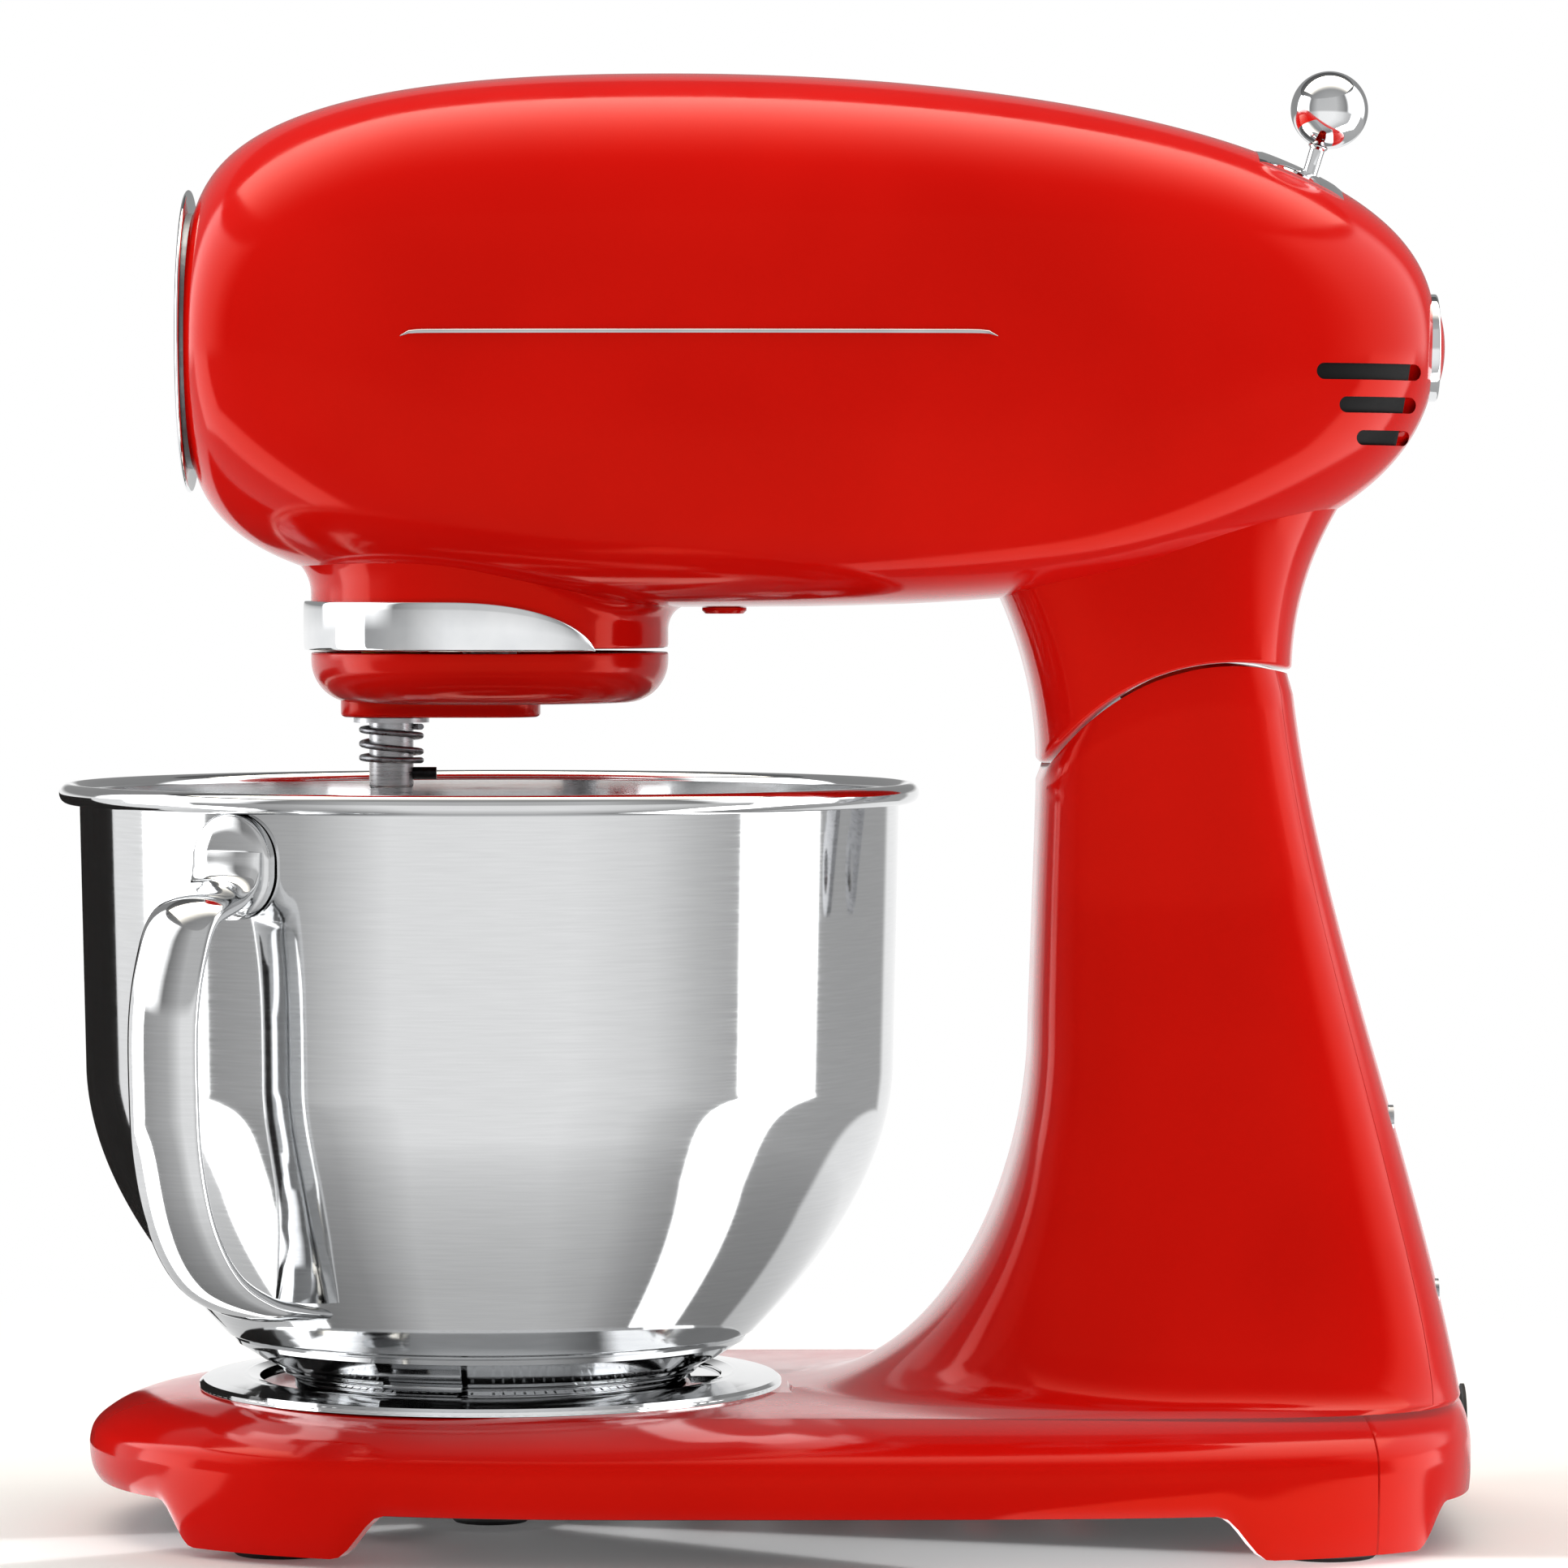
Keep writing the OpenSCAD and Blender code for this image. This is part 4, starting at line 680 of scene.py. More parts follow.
def neck_skin(z, a, k):
    """Neck section: a superellipse with a crisper front, k inside the skin. It spreads into the head,
    early at the front and late at the rear."""
    up = ease((z - pivot_z - seam_r) / (neck_top - pivot_z - seam_r))
    front = waist_x - spread(z, 9.4, 41, 43) + k
    rear = pivot_x + 15.9 + spread(z, 14, 17, 45) - k
    mid = mix(front, rear, mix(0.55, 0.48, up))
    half = column_half_top - 1.5 * up - k
    fore = np.cos(a) < 0
    power = np.where(fore, front_power, mix(rear_power, 2.2, up))
    x = mid + lobe(np.cos(a), power) * np.where(fore, mid - front, rear - mid)
    return np.stack([x, lobe(np.sin(a), power) * half, z + 0 * a], -1)


a = even_turn(160, 3.6)
guess = np.full(len(a), throat_h - 25)
foot = seam_height(lambda z: neck_skin(z, a, 0.0)[:, 0], guess, seam_r + seam_gap / 2)
lip_steps = [0, 0.15, 0.4, 0.8, lip_r]
steps = np.concatenate([lip_steps, np.linspace(2.2, 50, 40)])
rows_out, rows_in = [], []
for step in steps:
    share = step / steps[-1]
    z = mix(foot, neck_top, share)
    if step <= lip_steps[-1]:
        z = np.minimum(foot + step, z)
    rows_out.append(neck_skin(z, a, lip(step)))
    rows_in.append(neck_skin(z, a, casting_wall))
shell("neck", np.array(rows_out), np.array(rows_in), **dress("red_enamel", "head", "neck_casting"))

# %% [markdown]
# The stand is drawn the same way, as outlines at rising heights: a skirt with rounded edges, the flat
# deck for the bowl, the hollow quarter-ellipse of the throat, and the slender column. Its back third
# is a separate moulded cover, so the same surface is made twice, over two ranges of the angle.

# %% The stand's surface
throat_x = plate_r + 1.6
throat_rise = 94.0
column_top = pivot_z + seam_r + 2
skirt_h = 13.7
foot_h = 2.4
foot_blend = 9.0
shoulder = 24.0
widest_share = 0.55
back_lean = 45.0
foot_r, foot_fade = 21.0, 13.0


def column_front(z):
    """A quarter ellipse from the deck up to the waist, then nearly upright."""
    above = z - deck_h - 1
    v = above / throat_rise
    curve = throat_x + (waist_x - 2 - throat_x) * np.sqrt(np.clip(1 - (1 - np.clip(v, 0, 1)) ** 2, 0, 1))
    return np.where(v < 1, curve, mix(waist_x - 2, waist_x, np.clip((above - throat_rise) / 60, 0, 1)))


def column_rear(z):
    """The back leans forward by back_lean on its way up, steepest in the middle."""
    t = (z - 20) / (column_top - 28)
    return base_rear - back_lean * mix(np.minimum(1, t), ease(t), 0.5)


def column_half(z):
    """Half width: it drops quickly above the deck and hardly at all near the top."""
    t = np.clip((z - deck_h) / (pivot_z - deck_h), 0, 1)
    return mix(base_half - shoulder, column_half_top, t ** 0.36)


def stand_outline(v):
    """Height, front, rear, half width and widest place of the base at v from 0, the skirt, to 1, the
    deck. The outline comes in along a rounded edge and a gently falling shoulder."""
    key = np.array([0, 0.1, 0.25, 0.45, 0.62, 0.8, 0.93, 1.0])
    height = np.array([0, 2.2, 5.5, 9.5, 13.5, 17.8, 20.9, deck_h - skirt_h])
    back = np.array([2.5, 0.9, 0.2, 0, 1.0, 7.2, 16.5, 26.5])
    z = skirt_h + np.interp(v, key, height)
    inset = np.interp(v, key, back)
    return z, -base_front + inset, base_rear - inset / 8, base_half - inset * 0.93, 40 + 0 * z


def smooth_rows(rows, passes=3):
    """Each row moves half way to the mean of its neighbours, so that corners of the profile soften."""
    for _ in range(passes):
        rows[1:-1] = 0.5 * rows[1:-1] + 0.25 * (rows[:-2] + rows[2:])
    return rows


def stand_rows():
    """All outlines from the skirt to the seam."""
    base = smooth_rows(np.array(stand_outline(np.linspace(0, 1, 30))).T)
    deck = [[deck_h + 0.02, throat_x, base_rear - 2.6, base_half - shoulder, 130]]
    rise = deck_h + 1 + (column_top - deck_h - 1) * np.linspace(0.0, 1, 56) ** 1.7
    mid = mix(column_front(rise), column_rear(rise), widest_share)
    column = np.column_stack([rise, column_front(rise), column_rear(rise), column_half(rise), mid])
    return np.vstack([base, deck, column])


def stand_skin(row, a, k):
    """A point of one outline: squarer at the rear than at the front, k inside the skin."""
    z, front, rear, half, mid = row
    fore = np.cos(a) < 0
    flare = ease((z - deck_h) / 60)
    power = np.where(fore, mix(2.3, front_power, flare), mix(4, rear_power, flare))
    x = mid + lobe(np.cos(a), power) * np.where(fore, mid - front - k, rear - mid - k)
    return x, lobe(np.sin(a), power) * (half - k)


foot_rows = ((-base_front + 50, 78.0), (base_rear - 36, 84.0))
foot_spots = [(x, side * y) for x, y in foot_rows for side in (-1, 1)]


def foot_drop(x, y):
    """1 where the skirt reaches down as one of the four feet, 0 between them."""
    away = np.min([np.hypot(x - fx, y - fy) for fx, fy in foot_spots], axis=0)
    return 1 - ease((away - foot_r) / foot_fade)


def stand_grid(a, k, edge_lip):
    """The stand's skin over the angles a, trimmed to the circle about the pin."""
    rows = stand_rows()
    low = column_top - 75
    top = seam_height(lambda z: stand_x(z, a), np.full(len(a), column_top - 8), seam_r - seam_gap / 2)
    grid = []
    for row in rows:
        x, y = stand_skin(row, a, k)
        z = np.full(len(a), row[0])
        if row[0] > low:
            share = (row[0] - low) / (column_top - low)
            z = mix(low, top, share)
            x, y = column_at(z, a, k + edge_lip * lip(top - z))
        if row[0] < skirt_h + foot_blend:
            reach = (skirt_h + foot_blend - row[0]) / foot_blend * foot_drop(x, y)
            z = z - (skirt_h - foot_h) * reach
        grid.append(np.stack([x, y, z], -1))
    return np.array(grid)


def column_at(z, a, k):
    """A point of the column's skin at any height above the deck."""
    front, rear = column_front(z), column_rear(z)
    row = (z, front, rear, column_half(z), mix(front, rear, widest_share))
    return stand_skin(row, a, k)


def stand_x(z, a):
    """x of the column's skin at height z and angle a."""
    return column_at(z, a, 0.0)[0]


cover_turn = 41.0
for name, ends, columns, slot, node in (
        ("stand_casting", (cover_turn + 0.4, 359.6 - cover_turn), 260, "red_enamel", "base_casting"),
        ("column_cover", (-cover_turn, cover_turn), 90, "red_plastic", "rear_cover")):
    a = turn(columns, *ends, closed=False)
    skins = [stand_grid(a, 0.0, 1.0), stand_grid(a, casting_wall, 0.0)]
    casting = shell(name, *skins, around=False, **dress(slot, "stand", node))
    casting.visible_glossy = False

# %% [markdown]
# ## The nose and its bright band
# Under the front of the head stands a round nose that holds the planetary drive. Its wall is a plain
# cylinder, but it flares into the head with a hollow fillet, as every casting does where two walls
# meet. The fillet's top is found from the head's own underside, all the way round.

# %% The nose
nose_wall = 3.9


def head_under(x, y):
    """Height of the head's underside above a point of the plan."""
    half, drop, _ = head_reach(x)
    power = power_below(x)
    return head_mid - drop * np.clip(1 - (np.abs(y) / half) ** power, 0, 1) ** (1 / power)


def nose_grid(around=180, fillet_steps=16):
    """Rings from the lower edge, up the wall and out along a quarter-round fillet into the head."""
    a = turn(around)
    reach = mix(5.5, 9.0, ease((1 - np.cos(a)) / 1.2))
    foot_x, foot_y = (nose_r + reach) * np.cos(a), (nose_r + reach) * np.sin(a)
    top = head_under(foot_x, foot_y) + 0.4
    rise = reach * 1.15
    edge = ((nose_wall, 0.1), (0.8, 0.0), (0.2, 0.25), (0.0, 0.9))
    rows = [(nose_r - inset, nose_z + lift) for inset, lift in edge]
    rows += [(nose_r, mix(nose_z + 0.9, top - rise, t)) for t in np.linspace(0.15, 1, 7)]
    for t in np.radians(np.linspace(0, 90, fillet_steps))[1:]:
        rows.append((nose_r + reach * (1 - np.cos(t)), top - rise * (1 - np.sin(t))))
    rows.append((nose_r - nose_wall, top + 3.0))
    return np.stack([np.stack([r * np.cos(a), r * np.sin(a), z + 0 * a], -1) for r, z in rows])


hoop("nose", nose_grid(), **dress("red_enamel", "head", "nose_housing"))

# %% [markdown]
# The chrome band hugs the front of the nose. Its lower edge is level and its upper edge sweeps down to
# nothing on both sides, so seen from the side it looks like a blade. Its section is a slim rounded
# bar whose height is a superellipse of how far back a point lies.

# %% The nose band
band_turn = 126.0
band_top = 12.7
t = np.radians(np.linspace(180 - band_turn, 180 + band_turn, 150))
full_until = -nose_r * 0.25
back = np.cos(t) * nose_r
band_end = -nose_r * np.cos(np.radians(band_turn))
past = (back - full_until) / (band_end - full_until) * (back > full_until)
tall = np.maximum(band_top * fall(past, 2.6, 1.7), 0.35)
section = turn(28)
round_z = 0.5 + 0.5 * lobe(np.sin(section), 7)
round_r = 0.5 + 0.5 * lobe(np.cos(section), 7)
r = nose_r - 0.6 + 2.6 * round_r[None, :]
z = nose_z - 0.6 + tall[:, None] * round_z[None, :]
grid = np.stack([r * np.cos(t)[:, None], r * np.sin(t)[:, None], z], -1)
solid("nose_bright_band", grid, **dress("chrome", "head", "nose_band"))

# %% [markdown]
# ## The planetary drive below the nose
# The red cap turns with the drive, and the attachment shaft turns the other way inside a raised
# track on it. The cap is a spun dish with a deep rounded edge. The track is a stadium, extruded, with
# a softened rim. The shaft, its washer and the coil spring that pushes an attachment down are turned
# and wound from steel.

# %% Cap, track and shaft
cap_low = corners("planetary_cap")[0]
shaft_low, shaft_high = corners("attachment_shaft")
shaft_x = (shaft_low[0] + shaft_high[0]) / 2
shaft_r = (shaft_high[1] - shaft_low[1]) / 2
boss_z = cap_low[2]
cap_z = boss_z + 3.8
cap_top = nose_z - 1.1
dish = np.vstack([arc((nose_r - 11, cap_z + 11), 11, 270, 360, 16), rounded([
    (nose_r, cap_z + 11, 0), (nose_r, cap_top, 0.7), (nose_r - 3, cap_top, 0.5), (nose_r - 3.4, cap_z + 8, 2),
    (nose_r - 9, cap_z + 3.4, 1), (4.0, cap_z + 3.4, 0)])])
dish = np.vstack([[[4.0, cap_z]], [[20.0, cap_z]], dish])
solid("drive_cap", spin(dish, 128), **dress("red_plastic", "carrier", "planetary_cap"))

track_r = 13.1
outline = stadium(-shaft_x + 2 * track_r, 2 * track_r, 96)
levels = [(0.0, cap_z + 1), (0.0, boss_z + 0.9), (0.25, boss_z + 0.35), (0.9, boss_z),
          (track_r * 0.4, boss_z)]
scale = [1 - inset / track_r for inset, _ in levels]
ends = np.sign(outline[:, 0]) * -shaft_x / 2
rows = [np.column_stack([shaft_x / 2 + ends + (outline[:, 0] - ends) * k, outline[:, 1] * k,
                         np.full(len(outline), z)]) for k, (_, z) in zip(scale, levels)]
solid("drive_track", np.array(rows), **dress("red_plastic", "carrier"))

pin_z = sum(corners("cross_pin"))[2] / 2
tip = shaft_low[2]
slim_r = shaft_r - 0.25
spindle = rounded([
    (0.3, tip, 0), (shaft_r - 1.2, tip, 0.8), (slim_r, tip + 1.2, 0.8), (slim_r, pin_z - 3.6, 0.2),
    (shaft_r, pin_z - 3.1, 0.2), (shaft_r, boss_z + 12, 0), (0.3, boss_z + 12, 0)])
solid("drive_spindle", spin(spindle, 64, (shaft_x, 0)), **dress("steel", "planet", "attachment_shaft"))

# %% The coil spring


def helix_wire(centre, radius, low, high, turns, wire_r, per_turn=40, sides=12):
    """A wire along x = R cos a, y = R sin a, with the pitch closing up at both ends. Each ring lies in
    the plane of the outward direction and the normal to the path."""
    n = int(turns * per_turn)
    t = np.linspace(0, 1, n)
    a = 2 * np.pi * turns * t
    z = mix(high, low, (ease((t - 0.06) / 0.88) + (t - 0.5) * 0.5 + 0.25) / 1.5)
    path = np.stack([centre[0] + radius * np.cos(a), centre[1] + radius * np.sin(a), z], -1)
    along = np.gradient(path, axis=0)
    along /= np.linalg.norm(along, axis=1)[:, None]
    out = np.stack([np.cos(a), np.sin(a), 0 * a], -1)
    up = np.cross(along, out)
    ring = turn(sides)
    return path[:, None] + wire_r * (out[:, None] * np.cos(ring)[None, :, None]
                                     + up[:, None] * np.sin(ring)[None, :, None])


spring_low, spring_high = corners("shaft_spring")
coil = helix_wire((shaft_x, 0), shaft_r + 1.9, spring_low[2] + 0.8, spring_high[2] - 0.8, 3.0, 0.8)
solid("spindle_spring", coil, **dress("spring_steel", "planet", "shaft_spring"))

# %% [markdown]
# ## The bowl
# The bowl is spun from one disc of stainless steel: straight sides, a deep round knee and a rim rolled
# outwards over itself, which stiffens it. Its foot is a second spun ring with tabs that lock under
# hooks in the plate on the base.

# %% Bowl, foot ring and plate
roll_r = 2.6
wall_r = bowl_r - 2 * roll_r
bowl_foot_z = bowl_low[2]
bowl_foot_r = 66.6
knee_h = 120.0
sheet = 1.2


def bowl_wall(z):
    """Radius of the wall: nearly straight above the knee, and below it 1 - u^1.9 of the way out."""
    straight = wall_r - 1.6
    u = (knee_h - z) / (knee_h - bowl_foot_z + 1.4)
    below = bowl_foot_r + (straight - bowl_foot_r) * (1 - np.maximum(0, u) ** 1.9)
    return np.where(z >= knee_h, mix(straight, wall_r, (z - knee_h) / (rim_h - knee_h)), below)


climb = bowl_foot_z + 0.4 + (rim_h - roll_r - bowl_foot_z - 0.4) * np.linspace(0, 1, 90) ** 1.25
outside = np.column_stack([bowl_wall(climb), climb])
inside = outside[::-1] + np.column_stack([np.full(90, -sheet), np.linspace(0, 1, 90) * 0.9])
roll = arc((bowl_r - roll_r, rim_h - roll_r), roll_r, 205, -30 - 155, 26)
floor_in = [[bowl_foot_r - 9, bowl_foot_z + sheet + 0.2], [0.6, bowl_foot_z + sheet]]
profile = np.vstack([[[0.6, bowl_foot_z]], [[bowl_foot_r - 6, bowl_foot_z]], outside, roll, inside, floor_in])
solid("bowl_spun", spin(profile, 192), **dress("polished_steel", "mixing_bowl", "bowl"), crisp=50)

seat_r = 57.0
foot_profile = rounded([
    (bowl_foot_r - 5, bowl_foot_z, 0.4), (bowl_foot_r - 1, bowl_foot_z, 0.5),
    (bowl_foot_r, bowl_foot_z - 0.9, 0.6), (bowl_foot_r - 0.8, bowl_foot_z - 2.2, 0.6),
    (bowl_foot_r - 9, bowl_foot_z - 4.6, 4), (seat_r - 2.4, deck_h + 7, 4),
    (seat_r - 2.6, deck_h + 4.4, 1), (seat_r - 6.2, deck_h + 2.4, 1), (seat_r - 6.2, deck_h - 5.6, 0.3),
    (seat_r - 8.2, deck_h - 5.6, 0.3), (seat_r - 8.2, deck_h + 4, 1), (bowl_foot_r - 11, bowl_foot_z - 3, 1)],
    closed=True)
hoop("bowl_foot_ring", spin(foot_profile, 160), **dress("polished_steel", "mixing_bowl"))

plate_profile = rounded([
    (plate_r, deck_h + 0.1, 0.3), (plate_r, deck_h + 1.4, 0.6), (plate_r - 2.2, deck_h + 2.1, 1.2),
    (seat_r + 7, deck_h + 3.4, 1.5), (seat_r + 3.4, deck_h + 2.8, 1.2), (seat_r + 2.6, deck_h - 5.6, 0.8),
    (seat_r + 4.6, deck_h - 5.6, 0.3), (seat_r + 4.8, deck_h + 0.1, 0.3)], closed=True)
hoop("plate_bright_ring", spin(plate_profile, 160), **dress("polished_steel", "stand"))

# %% [markdown]
# ### The handle
# The handle is a flat strap bent into a loop and welded to the bowl through a tab with a rounded top.
# Its middle line is a curve in the plane through the bowl's axis, and a slim superellipse is carried
# along it: wide across the hand and thin from front to back.

# %% The handle's sweep


def spline(points, per_span=10):
    """A Catmull-Rom curve: each span leaves its points along the line between their neighbours."""
    p = np.vstack([2 * points[0] - points[1], points, 2 * points[-1] - points[-2]])
    t = np.linspace(0, 1, per_span, endpoint=False)[:, None]
    a, b, c, d = (p[k:len(p) - 3 + k][:, None] for k in range(4))
    curve = 0.5 * (2 * b + (c - a) * t + (2 * a - 5 * b + 4 * c - d) * t ** 2
                   + (3 * b - a - 3 * c + d) * t ** 3)
    return np.vstack([curve.reshape(-1, 2), points[-1:]])


grip_r = bowl_r + 23
handle_turn = np.radians(236)
path = spline(np.array([
    [wall_r + 3.4, 178], [wall_r + 4.2, 171], [wall_r + 9, 166.4], [wall_r + 20, 162], [grip_r - 3, 152],
    [grip_r, 138], [grip_r, 120], [grip_r - 1.6, 103], [grip_r - 7, 86], [grip_r - 17, 73],
    [grip_r - 31, 65.6], [grip_r - 45, 62.6], [float(bowl_wall(np.array(61.0))) + 2.6, 61.4]]))
strap_half, strap_thin = 10.5, 4.25
along = np.gradient(path, axis=0)
along /= np.linalg.norm(along, axis=1)[:, None]
normal = np.column_stack([along[:, 1], -along[:, 0]])
n = len(path)
thin = mix(0.5, 1, ease(np.minimum(np.arange(n), n - 1 - np.arange(n)) / 30))
a = turn(40)
off = lobe(np.cos(a), 2.0)[None, :] * (strap_thin * thin)[:, None]
out = path[:, :1] + normal[:, :1] * off
up = path[:, 1:] + normal[:, 1:] * off
side_way = lobe(np.sin(a), 2.0)[None, :] * strap_half + 0 * out


def to_handle(out, across, up):
    """Turns (out from the axis, across, up) to the handle's side of the bowl."""
    c, k = np.cos(handle_turn), np.sin(handle_turn)
    return np.stack([out * c - across * k, out * k + across * c, up], -1)


solid("handle_strap", to_handle(out, side_way, up), **dress("polished_steel", "mixing_bowl", "bowl_handle"))

tab_mid = rim_h - 17.0
tab = stadium(26.5, 24.0, 64)[:, ::-1] - np.array([0.0, 1.2])
rows = []
for inset, proud in ((0.0, 0.2), (0.0, 2.1), (0.35, 2.7), (1.1, 3.0), (6.0, 3.0)):
    k = 1 - inset / 12
    y, z = tab[:, 0] * k, tab[:, 1] * k + tab_mid
    x = np.sqrt((wall_r + proud) ** 2 - y ** 2)
    rows.append(to_handle(x, y, z))
solid("handle_tab", np.array(rows), **dress("polished_steel", "mixing_bowl"))

# %% [markdown]
# ## Controls and covers
# A chromed ball on a slim stem sets the speed, and a red domed button at the back frees the head. A
# thin domed disc covers the accessory hub at the front; its plug sits in the hub's bore.

# %% Lever, button and hub cover
ball_r = (knob_high[2] - knob_low[2]) / 2
ball = arc((0, 0), ball_r, -78, 89.5, 60)
ball_foot = -ball_r
stem = np.array([[0.4, -stem_foot], [1.7, -stem_foot], [1.75, -16.0], [1.9, -15.0], [1.95, ball_foot - 0.8],
                 [2.5, ball_foot - 0.2], [2.6, ball_foot + 0.15]])


def lean_over(grid):
    """Tips an upright spin back by the lever's lean and moves it to the ball's centre."""
    x, y, z = grid[..., 0], grid[..., 1], grid[..., 2]
    c, k = np.cos(lean), np.sin(lean)
    return np.stack([x * c + z * k, y, z * c - x * k], -1) + knob_centre


solid("speed_ball", lean_over(spin(ball, 72)), **dress("chrome", "speed_lever", "lever_knob"))
solid("speed_stem", lean_over(spin(stem, 40)), **dress("chrome", "speed_lever"))

button_high = corners("release_button")[1]
button_r = button_high[1]
dome_back = head_rear - 8
dome_h = button_high[0] - dome_back
dome_rise = 4.0
bend = turn(26, 0, 88.5, closed=False)
dome = np.vstack([[[0.4, 0.0], [button_r - 0.4, 0.0], [button_r, 0.4]],
                  np.column_stack([button_r * np.cos(bend), dome_h - dome_rise + dome_rise * np.sin(bend)])])
solid("release_dome", lay_down(spin(dome, 80), dome_back, button_z), **dress("red_plastic", "button"))
collar_in, collar_out = button_r + 0.25, button_r + 1.9
collar = rounded([
    (collar_in, 0.0, 0.2), (collar_in, 6.9, 0.5), (collar_out, 6.9, 0.7), (collar_out, 0.0, 0.2)],
    closed=True)
hoop("button_collar", lay_down(spin(collar, 80), head_rear - 6.5, button_z),
     **dress("chrome", "head", "button_ring"))

cover_r = (cover_high[2] - cover_low[2]) / 2
disc = rounded([
    (0.5, 0.0, 0), (20, 0.15, 6), (34, 0.5, 4), (cover_r - 0.8, 0.95, 0.6), (cover_r, 1.5, 0.4),
    (cover_r - 0.3, 2.1, 0.3), (14.5, 2.1, 0.1), (14.5, 2.1, 0.1), (12.9, 2.2, 0.1), (12.9, 20.5, 0.6),
    (0.5, 20.5, 0)])
solid("hub_bright_cover", lay_down(spin(disc, 120), cover_low[0], hub_z),
      **dress("chrome", "cover", "hub_cover"))

# %% [markdown]
# ## Studio
# The machine stands on a pale floor that fades into a white backdrop. A big soft box hangs above it
# and tall ones stand at both sides, which is what gives glossy paint its long soft highlights.

# %% Floor and backdrop
floor_mesh = bpy.data.meshes.new("floor")
reach = 12.0
floor_corners = [(-reach, -reach, 0), (reach, -reach, 0), (reach, reach, 0), (-reach, reach, 0)]
floor_mesh.from_pydata(floor_corners, [], [(0, 1, 2, 3)])
floor = bpy.data.objects.new("floor", floor_mesh)
scene.collection.objects.link(floor)
paper, tree, shader = start("white paper floor", Roughness=0.6)
shader.inputs["Base Color"].default_value = colour("#F8F8F8")
where = add(tree, "TexCoord").outputs["Object"]
distance = add(tree, "VectorMath", {0: where}, operation="LENGTH").outputs["Value"]
fade_inputs = {"Value": distance, "From Min": 0.26, "From Max": 0.6}
fade = add(tree, "MapRange", fade_inputs, interpolation_type="SMOOTHSTEP")
glow = add(tree, "Emission", {"Color": (1, 1, 1, 1), "Strength": 1.0})
both = add(tree, "MixShader", {
    0: fade.outputs["Result"], 1: shader.outputs["BSDF"], 2: glow.outputs["Emission"]})
tree.links.new(both.outputs["Shader"], tree.nodes["Material Output"].inputs["Surface"])
floor_mesh.materials.append(paper)

world = bpy.data.worlds.new("studio")
scene.world = world
world.use_nodes = True
tree = world.node_tree
way = add(tree, "SeparateXYZ", {"Vector": add(tree, "TexCoord").outputs["Generated"]})
behind = add(tree, "MapRange", {"Value": way.outputs["Y"], "From Min": -1.0}).outputs["Result"]
level_stops = [(0.0, 0.80), (0.36, 0.46), (0.62, 0.40), (0.90, 0.42), (0.93, 1.0)]
level = add(tree, "ValToRGB", {"Fac": behind}, level_stops).outputs["Color"]
above = add(tree, "ValToRGB", {"Fac": behind}, [(0.0, 0.50), (0.5, 0.22), (1.0, 0.06)]).outputs["Color"]
climb = add(tree, "MapRange", {"Value": way.outputs["Z"], "From Min": 0.12, "From Max": 0.45},
            interpolation_type="SMOOTHSTEP").outputs["Result"]
room = add(tree, "Mix", {"Factor": climb, "A": level, "B": above}, data_type="RGBA")
backdrop = tree.nodes["Background"]
tree.links.new(room.outputs["Result"], backdrop.inputs["Color"])
seen = add(tree, "Background", {"Color": (1, 1, 1, 1), "Strength": 1.0})
eye = add(tree, "LightPath").outputs["Is Camera Ray"]
whole = add(tree, "MixShader", {
    0: eye, 1: backdrop.outputs["Background"], 2: seen.outputs["Background"]})
tree.links.new(whole.outputs["Shader"], tree.nodes["World Output"].inputs["Surface"])


# %% Soft boxes


def soft_box(name, place_at, aim, size, brightness, fading=False, tint="#FFFFFF"):
    """An area light from place_at towards aim. Its brightness is that of a screen whose white is 1,
    and the watts follow from it: pi times area times brightness. A fading one is dark along its front
    edge and reaches full brightness at 0.83 of its height."""
    lamp = bpy.data.lights.new(name, "AREA")
    lamp.shape = "RECTANGLE"
    lamp.size, lamp.size_y = size
    lamp.color = colour(tint)[:3]
    lamp.energy = np.pi * size[0] * size[1] * brightness
    if fading:
        lamp.use_nodes = True
        tree = lamp.node_tree
        share = add(tree, "NewGeometry").outputs["Parametric"]
        along = add(tree, "SeparateXYZ", {"Vector": share}).outputs["Y"]
        strength = add(tree, "MapRange", {"Value": along, "From Max": 0.83}, interpolation_type="SMOOTHSTEP")
        tree.links.new(strength.outputs["Result"], tree.nodes["Emission"].inputs["Strength"])
    thing = bpy.data.objects.new(name, lamp)
    thing.location = place_at
    way = Vector(aim) - Vector(place_at)
    thing.rotation_euler = way.to_track_quat("-Z", "Y").to_euler()
    scene.collection.objects.link(thing)
    thing.visible_camera = False
    return thing


# The top box aims a hair off plumb, which keeps its bright edge towards the back.
soft_box("top_box", (0.07, -0.03, 1.55), (0.07, -0.0299, 0.2), (2.6, 1.40), 4.2, True, "#FFF8EA")
for name, place_at in (("left_box", (-1.55, -0.1, 0.65)), ("right_box", (1.7, -0.1, 0.65))):
    soft_box(name, place_at, (0.07, 0.0, 0.2), (0.9, 1.4), 2.4)

# %% [markdown]
# Polished steel shows the room and nothing else, so the room is drawn for it. A tent of cards, which
# only mirror reflections see, stands round the machine: pale grey in front and straight behind, a white
# card at each side, and darker grey between. It is a surface of revolution whose brightness depends on
# the direction, with one set of cards for the bowl and another for what is higher up. A black card close
# behind the bowl's left edge draws the dark strip that gives the steel its contrast.

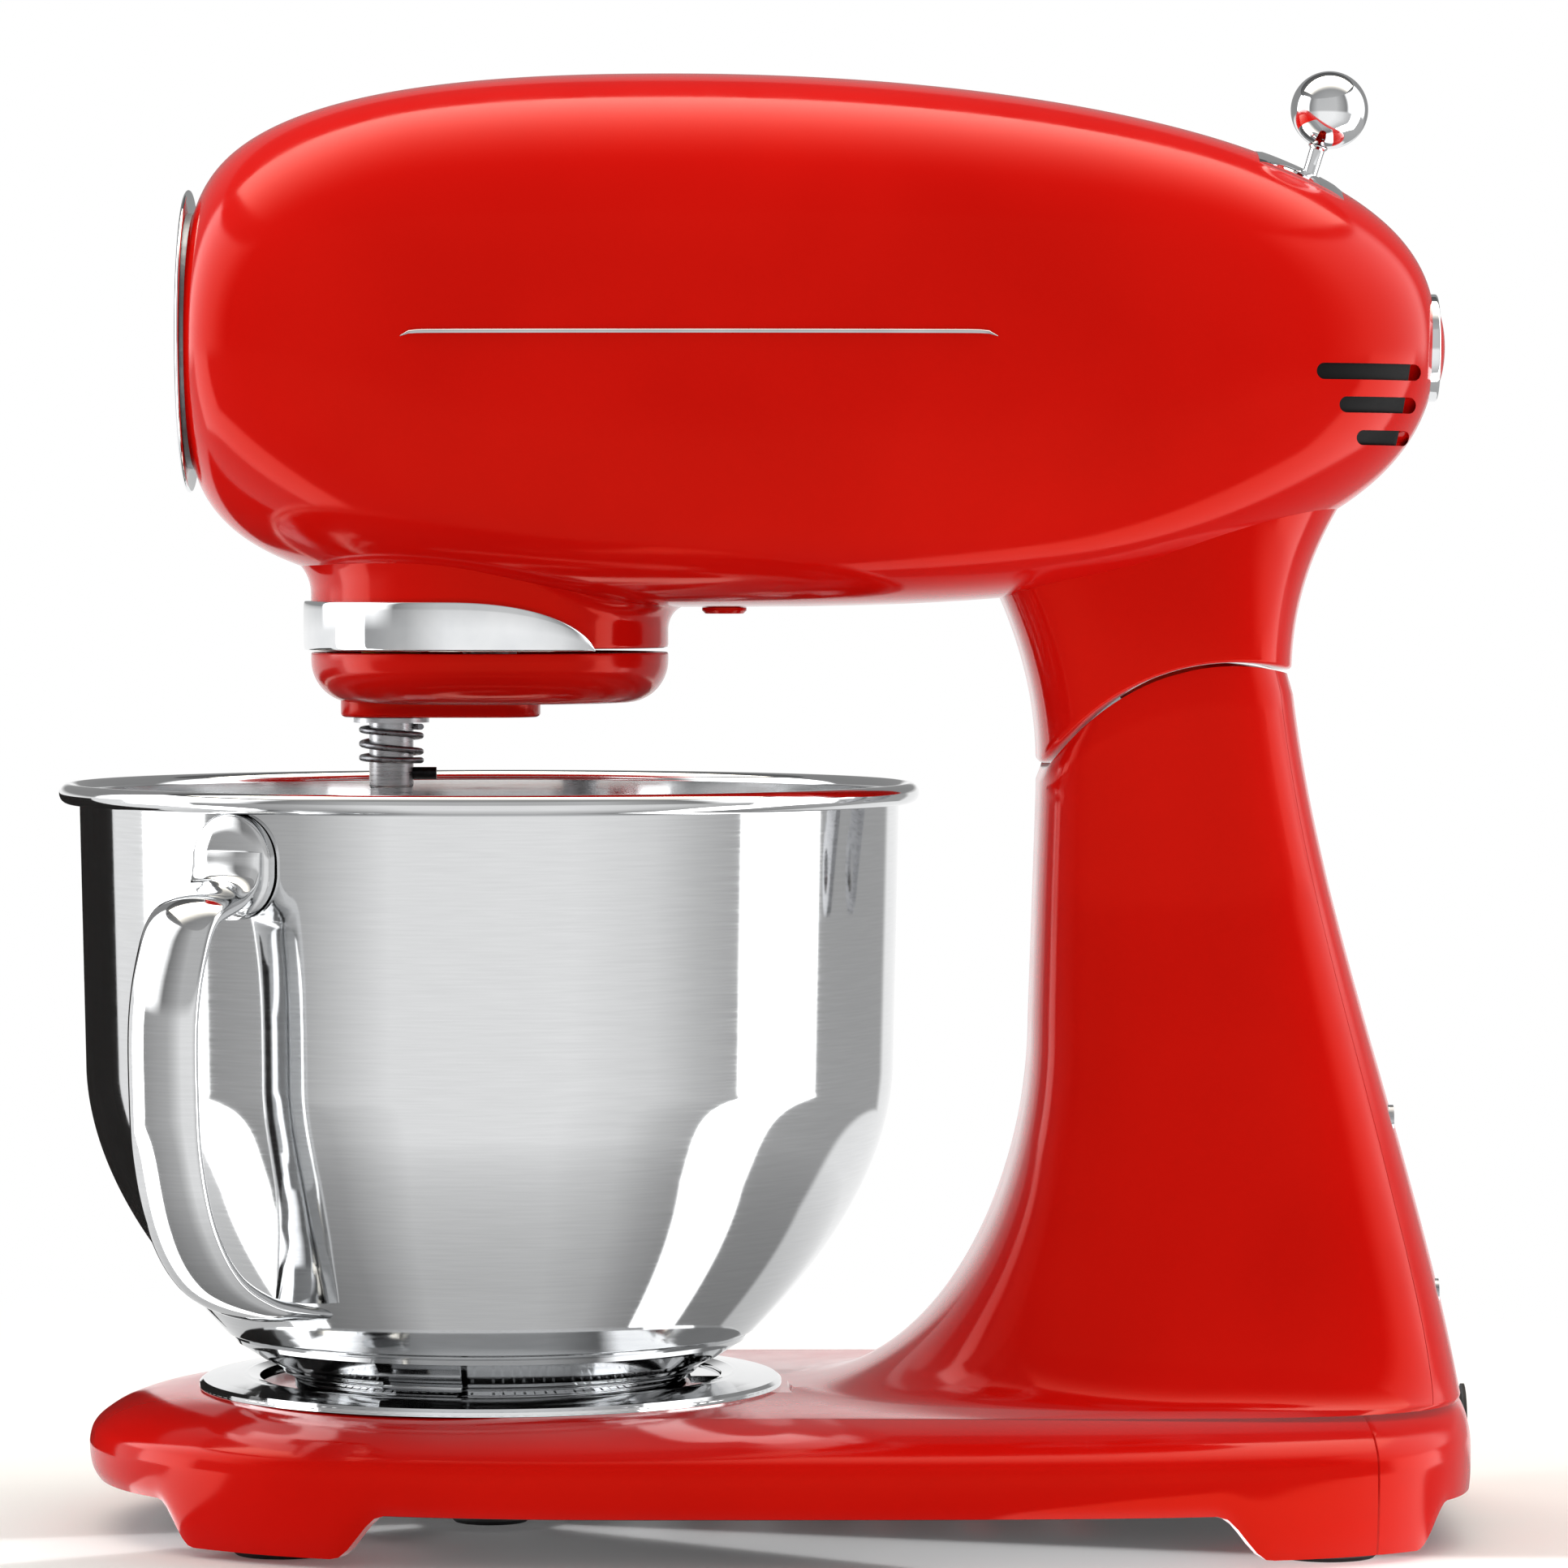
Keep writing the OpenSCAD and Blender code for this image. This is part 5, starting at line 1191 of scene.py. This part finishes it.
# %% Reflection tent
tent_path = np.array([[20, 1.5], [500, 1.5], [840, 1.5], [890, 20], [900, 60], [900, 950]])
tent_grid = spin(tent_path, 96) * MM
rows, columns = tent_grid.shape[:2]
tent_mesh = bpy.data.meshes.new("tent")
tent_cells = cells(np.arange(rows * columns).reshape(rows, columns))
tent_mesh.from_pydata(tent_grid.reshape(-1, 3).tolist(), [], tent_cells.tolist())
cards = bpy.data.materials.new("grey and white cards")
cards.use_nodes = True
tree = cards.node_tree
where = add(tree, "TexCoord").outputs["Object"]
spot = add(tree, "SeparateXYZ", {"Vector": where})
front = add(tree, "Math", {0: spot.outputs["Y"], 1: -1.0}, operation="MULTIPLY")
bearing = add(tree, "Math", {0: spot.outputs["X"], 1: front.outputs["Value"]}, operation="ARCTAN2")
# Near the machine the cards sweep round, which bends their reflection along with the bowl's knee.
radius = add(tree, "VectorMath", {0: where}, operation="LENGTH").outputs["Value"]
sweep = add(tree, "MapRange", {
    "Value": radius, "From Min": 0.2, "From Max": 0.7, "To Min": 1.4, "To Max": 1.0})
swept = add(tree, "Math", {0: bearing.outputs["Value"], 1: sweep.outputs["Result"]}, operation="MULTIPLY")
share = add(tree, "MapRange", {"Value": swept.outputs["Value"], "From Min": -np.pi, "From Max": np.pi})
# Brightness by bearing in degrees from straight in front, for the bowl below and the head above.
white_card = 4.0
low_cards = [(-180, 1.0), (-105, 1.0), (-104, white_card), (-80, white_card), (-79, 0.38), (-49, 0.54),
             (-24, 1.0), (24, 1.02), (46, 0.87), (59, 0.66), (72, 0.52), (73, white_card), (101, white_card),
             (102, 0.46), (143, 0.42), (147, 1.0), (180, 1.0)]
high_cards = [(-180, 0.3), (-122, 0.3), (-118, white_card), (-72, white_card * 0.7), (-58, 0.25), (-30, 0.6),
              (30, 0.6), (58, 0.25), (70, white_card * 0.6), (112, white_card * 0.6), (120, 0.3), (180, 0.3)]
low_plan, high_plan = [
    add(tree, "ValToRGB", {"Fac": share.outputs["Result"]},
        [((angle + 180) / 360, level / white_card) for angle, level in cards_at]).outputs["Color"]
    for cards_at in (low_cards, high_cards)]
higher = add(tree, "MapRange", {"Value": spot.outputs["Z"], "From Min": 0.22, "From Max": 0.30})
plan = add(tree, "Mix", {"Factor": higher.outputs["Result"], "A": low_plan, "B": high_plan}, data_type="RGBA")
dimmed = add(tree, "MapRange", {
    "Value": radius, "From Min": 0.1, "From Max": 0.3, "To Min": 2.4, "To Max": white_card})
glow = add(tree, "Emission", {"Color": plan.outputs["Result"], "Strength": dimmed.outputs["Result"]})
tree.links.new(glow.outputs["Emission"], tree.nodes["Material Output"].inputs["Surface"])
tent_mesh.materials.append(cards)

card_r, card_x = 0.16, -0.100
bend = turn(9, 116, 176, closed=False)
flag_x, flag_y = card_x - card_r * np.sin(bend), -card_r * np.cos(bend)
flag_grid = np.stack([np.column_stack([flag_x, flag_y, np.full(9, z)]) for z in (0.002, 0.187)])
flag_mesh = bpy.data.meshes.new("dark_card")
flag_cells = cells(np.arange(18).reshape(2, 9), False)
flag_mesh.from_pydata(flag_grid.reshape(-1, 3).tolist(), [], flag_cells.tolist())
velvet, tree, shader = start("black velvet", Roughness=1.0, Specular_IOR_Level=0.0)
shader.inputs["Base Color"].default_value = colour("#2A2A2A")
flag_mesh.materials.append(velvet)

for mesh in (tent_mesh, flag_mesh):
    card = bpy.data.objects.new(mesh.name, mesh)
    scene.collection.objects.link(card)
    for seen_by in ("camera", "diffuse", "shadow"):
        setattr(card, "visible_" + seen_by, False)

# A studio trick: apart from the bowl plate, no mirror sees the stand, which keeps the steel's greys clean.
for node in frame["record"]["behaviour"]["bodies"]["stand"]:
    if node != "bowl_plate":
        nodes[node].visible_glossy = False
scene.view_settings.view_transform = "Standard"

# %% [markdown]
# The camera is a long lens at the height of the planetary nose, almost level, so the machine shows
# in near-true profile with the bowl's rim just open.

# %% Camera
camera_data = bpy.data.cameras.new("camera")
camera_data.sensor_width = 36
camera_data.lens = 161.0
camera = bpy.data.objects.new("camera", camera_data)
camera.location = (0.0763, -1.82, 0.2482)
camera.rotation_euler = (np.radians(90 - 1.77), 0, 0)
scene.collection.objects.link(camera)
scene.camera = camera
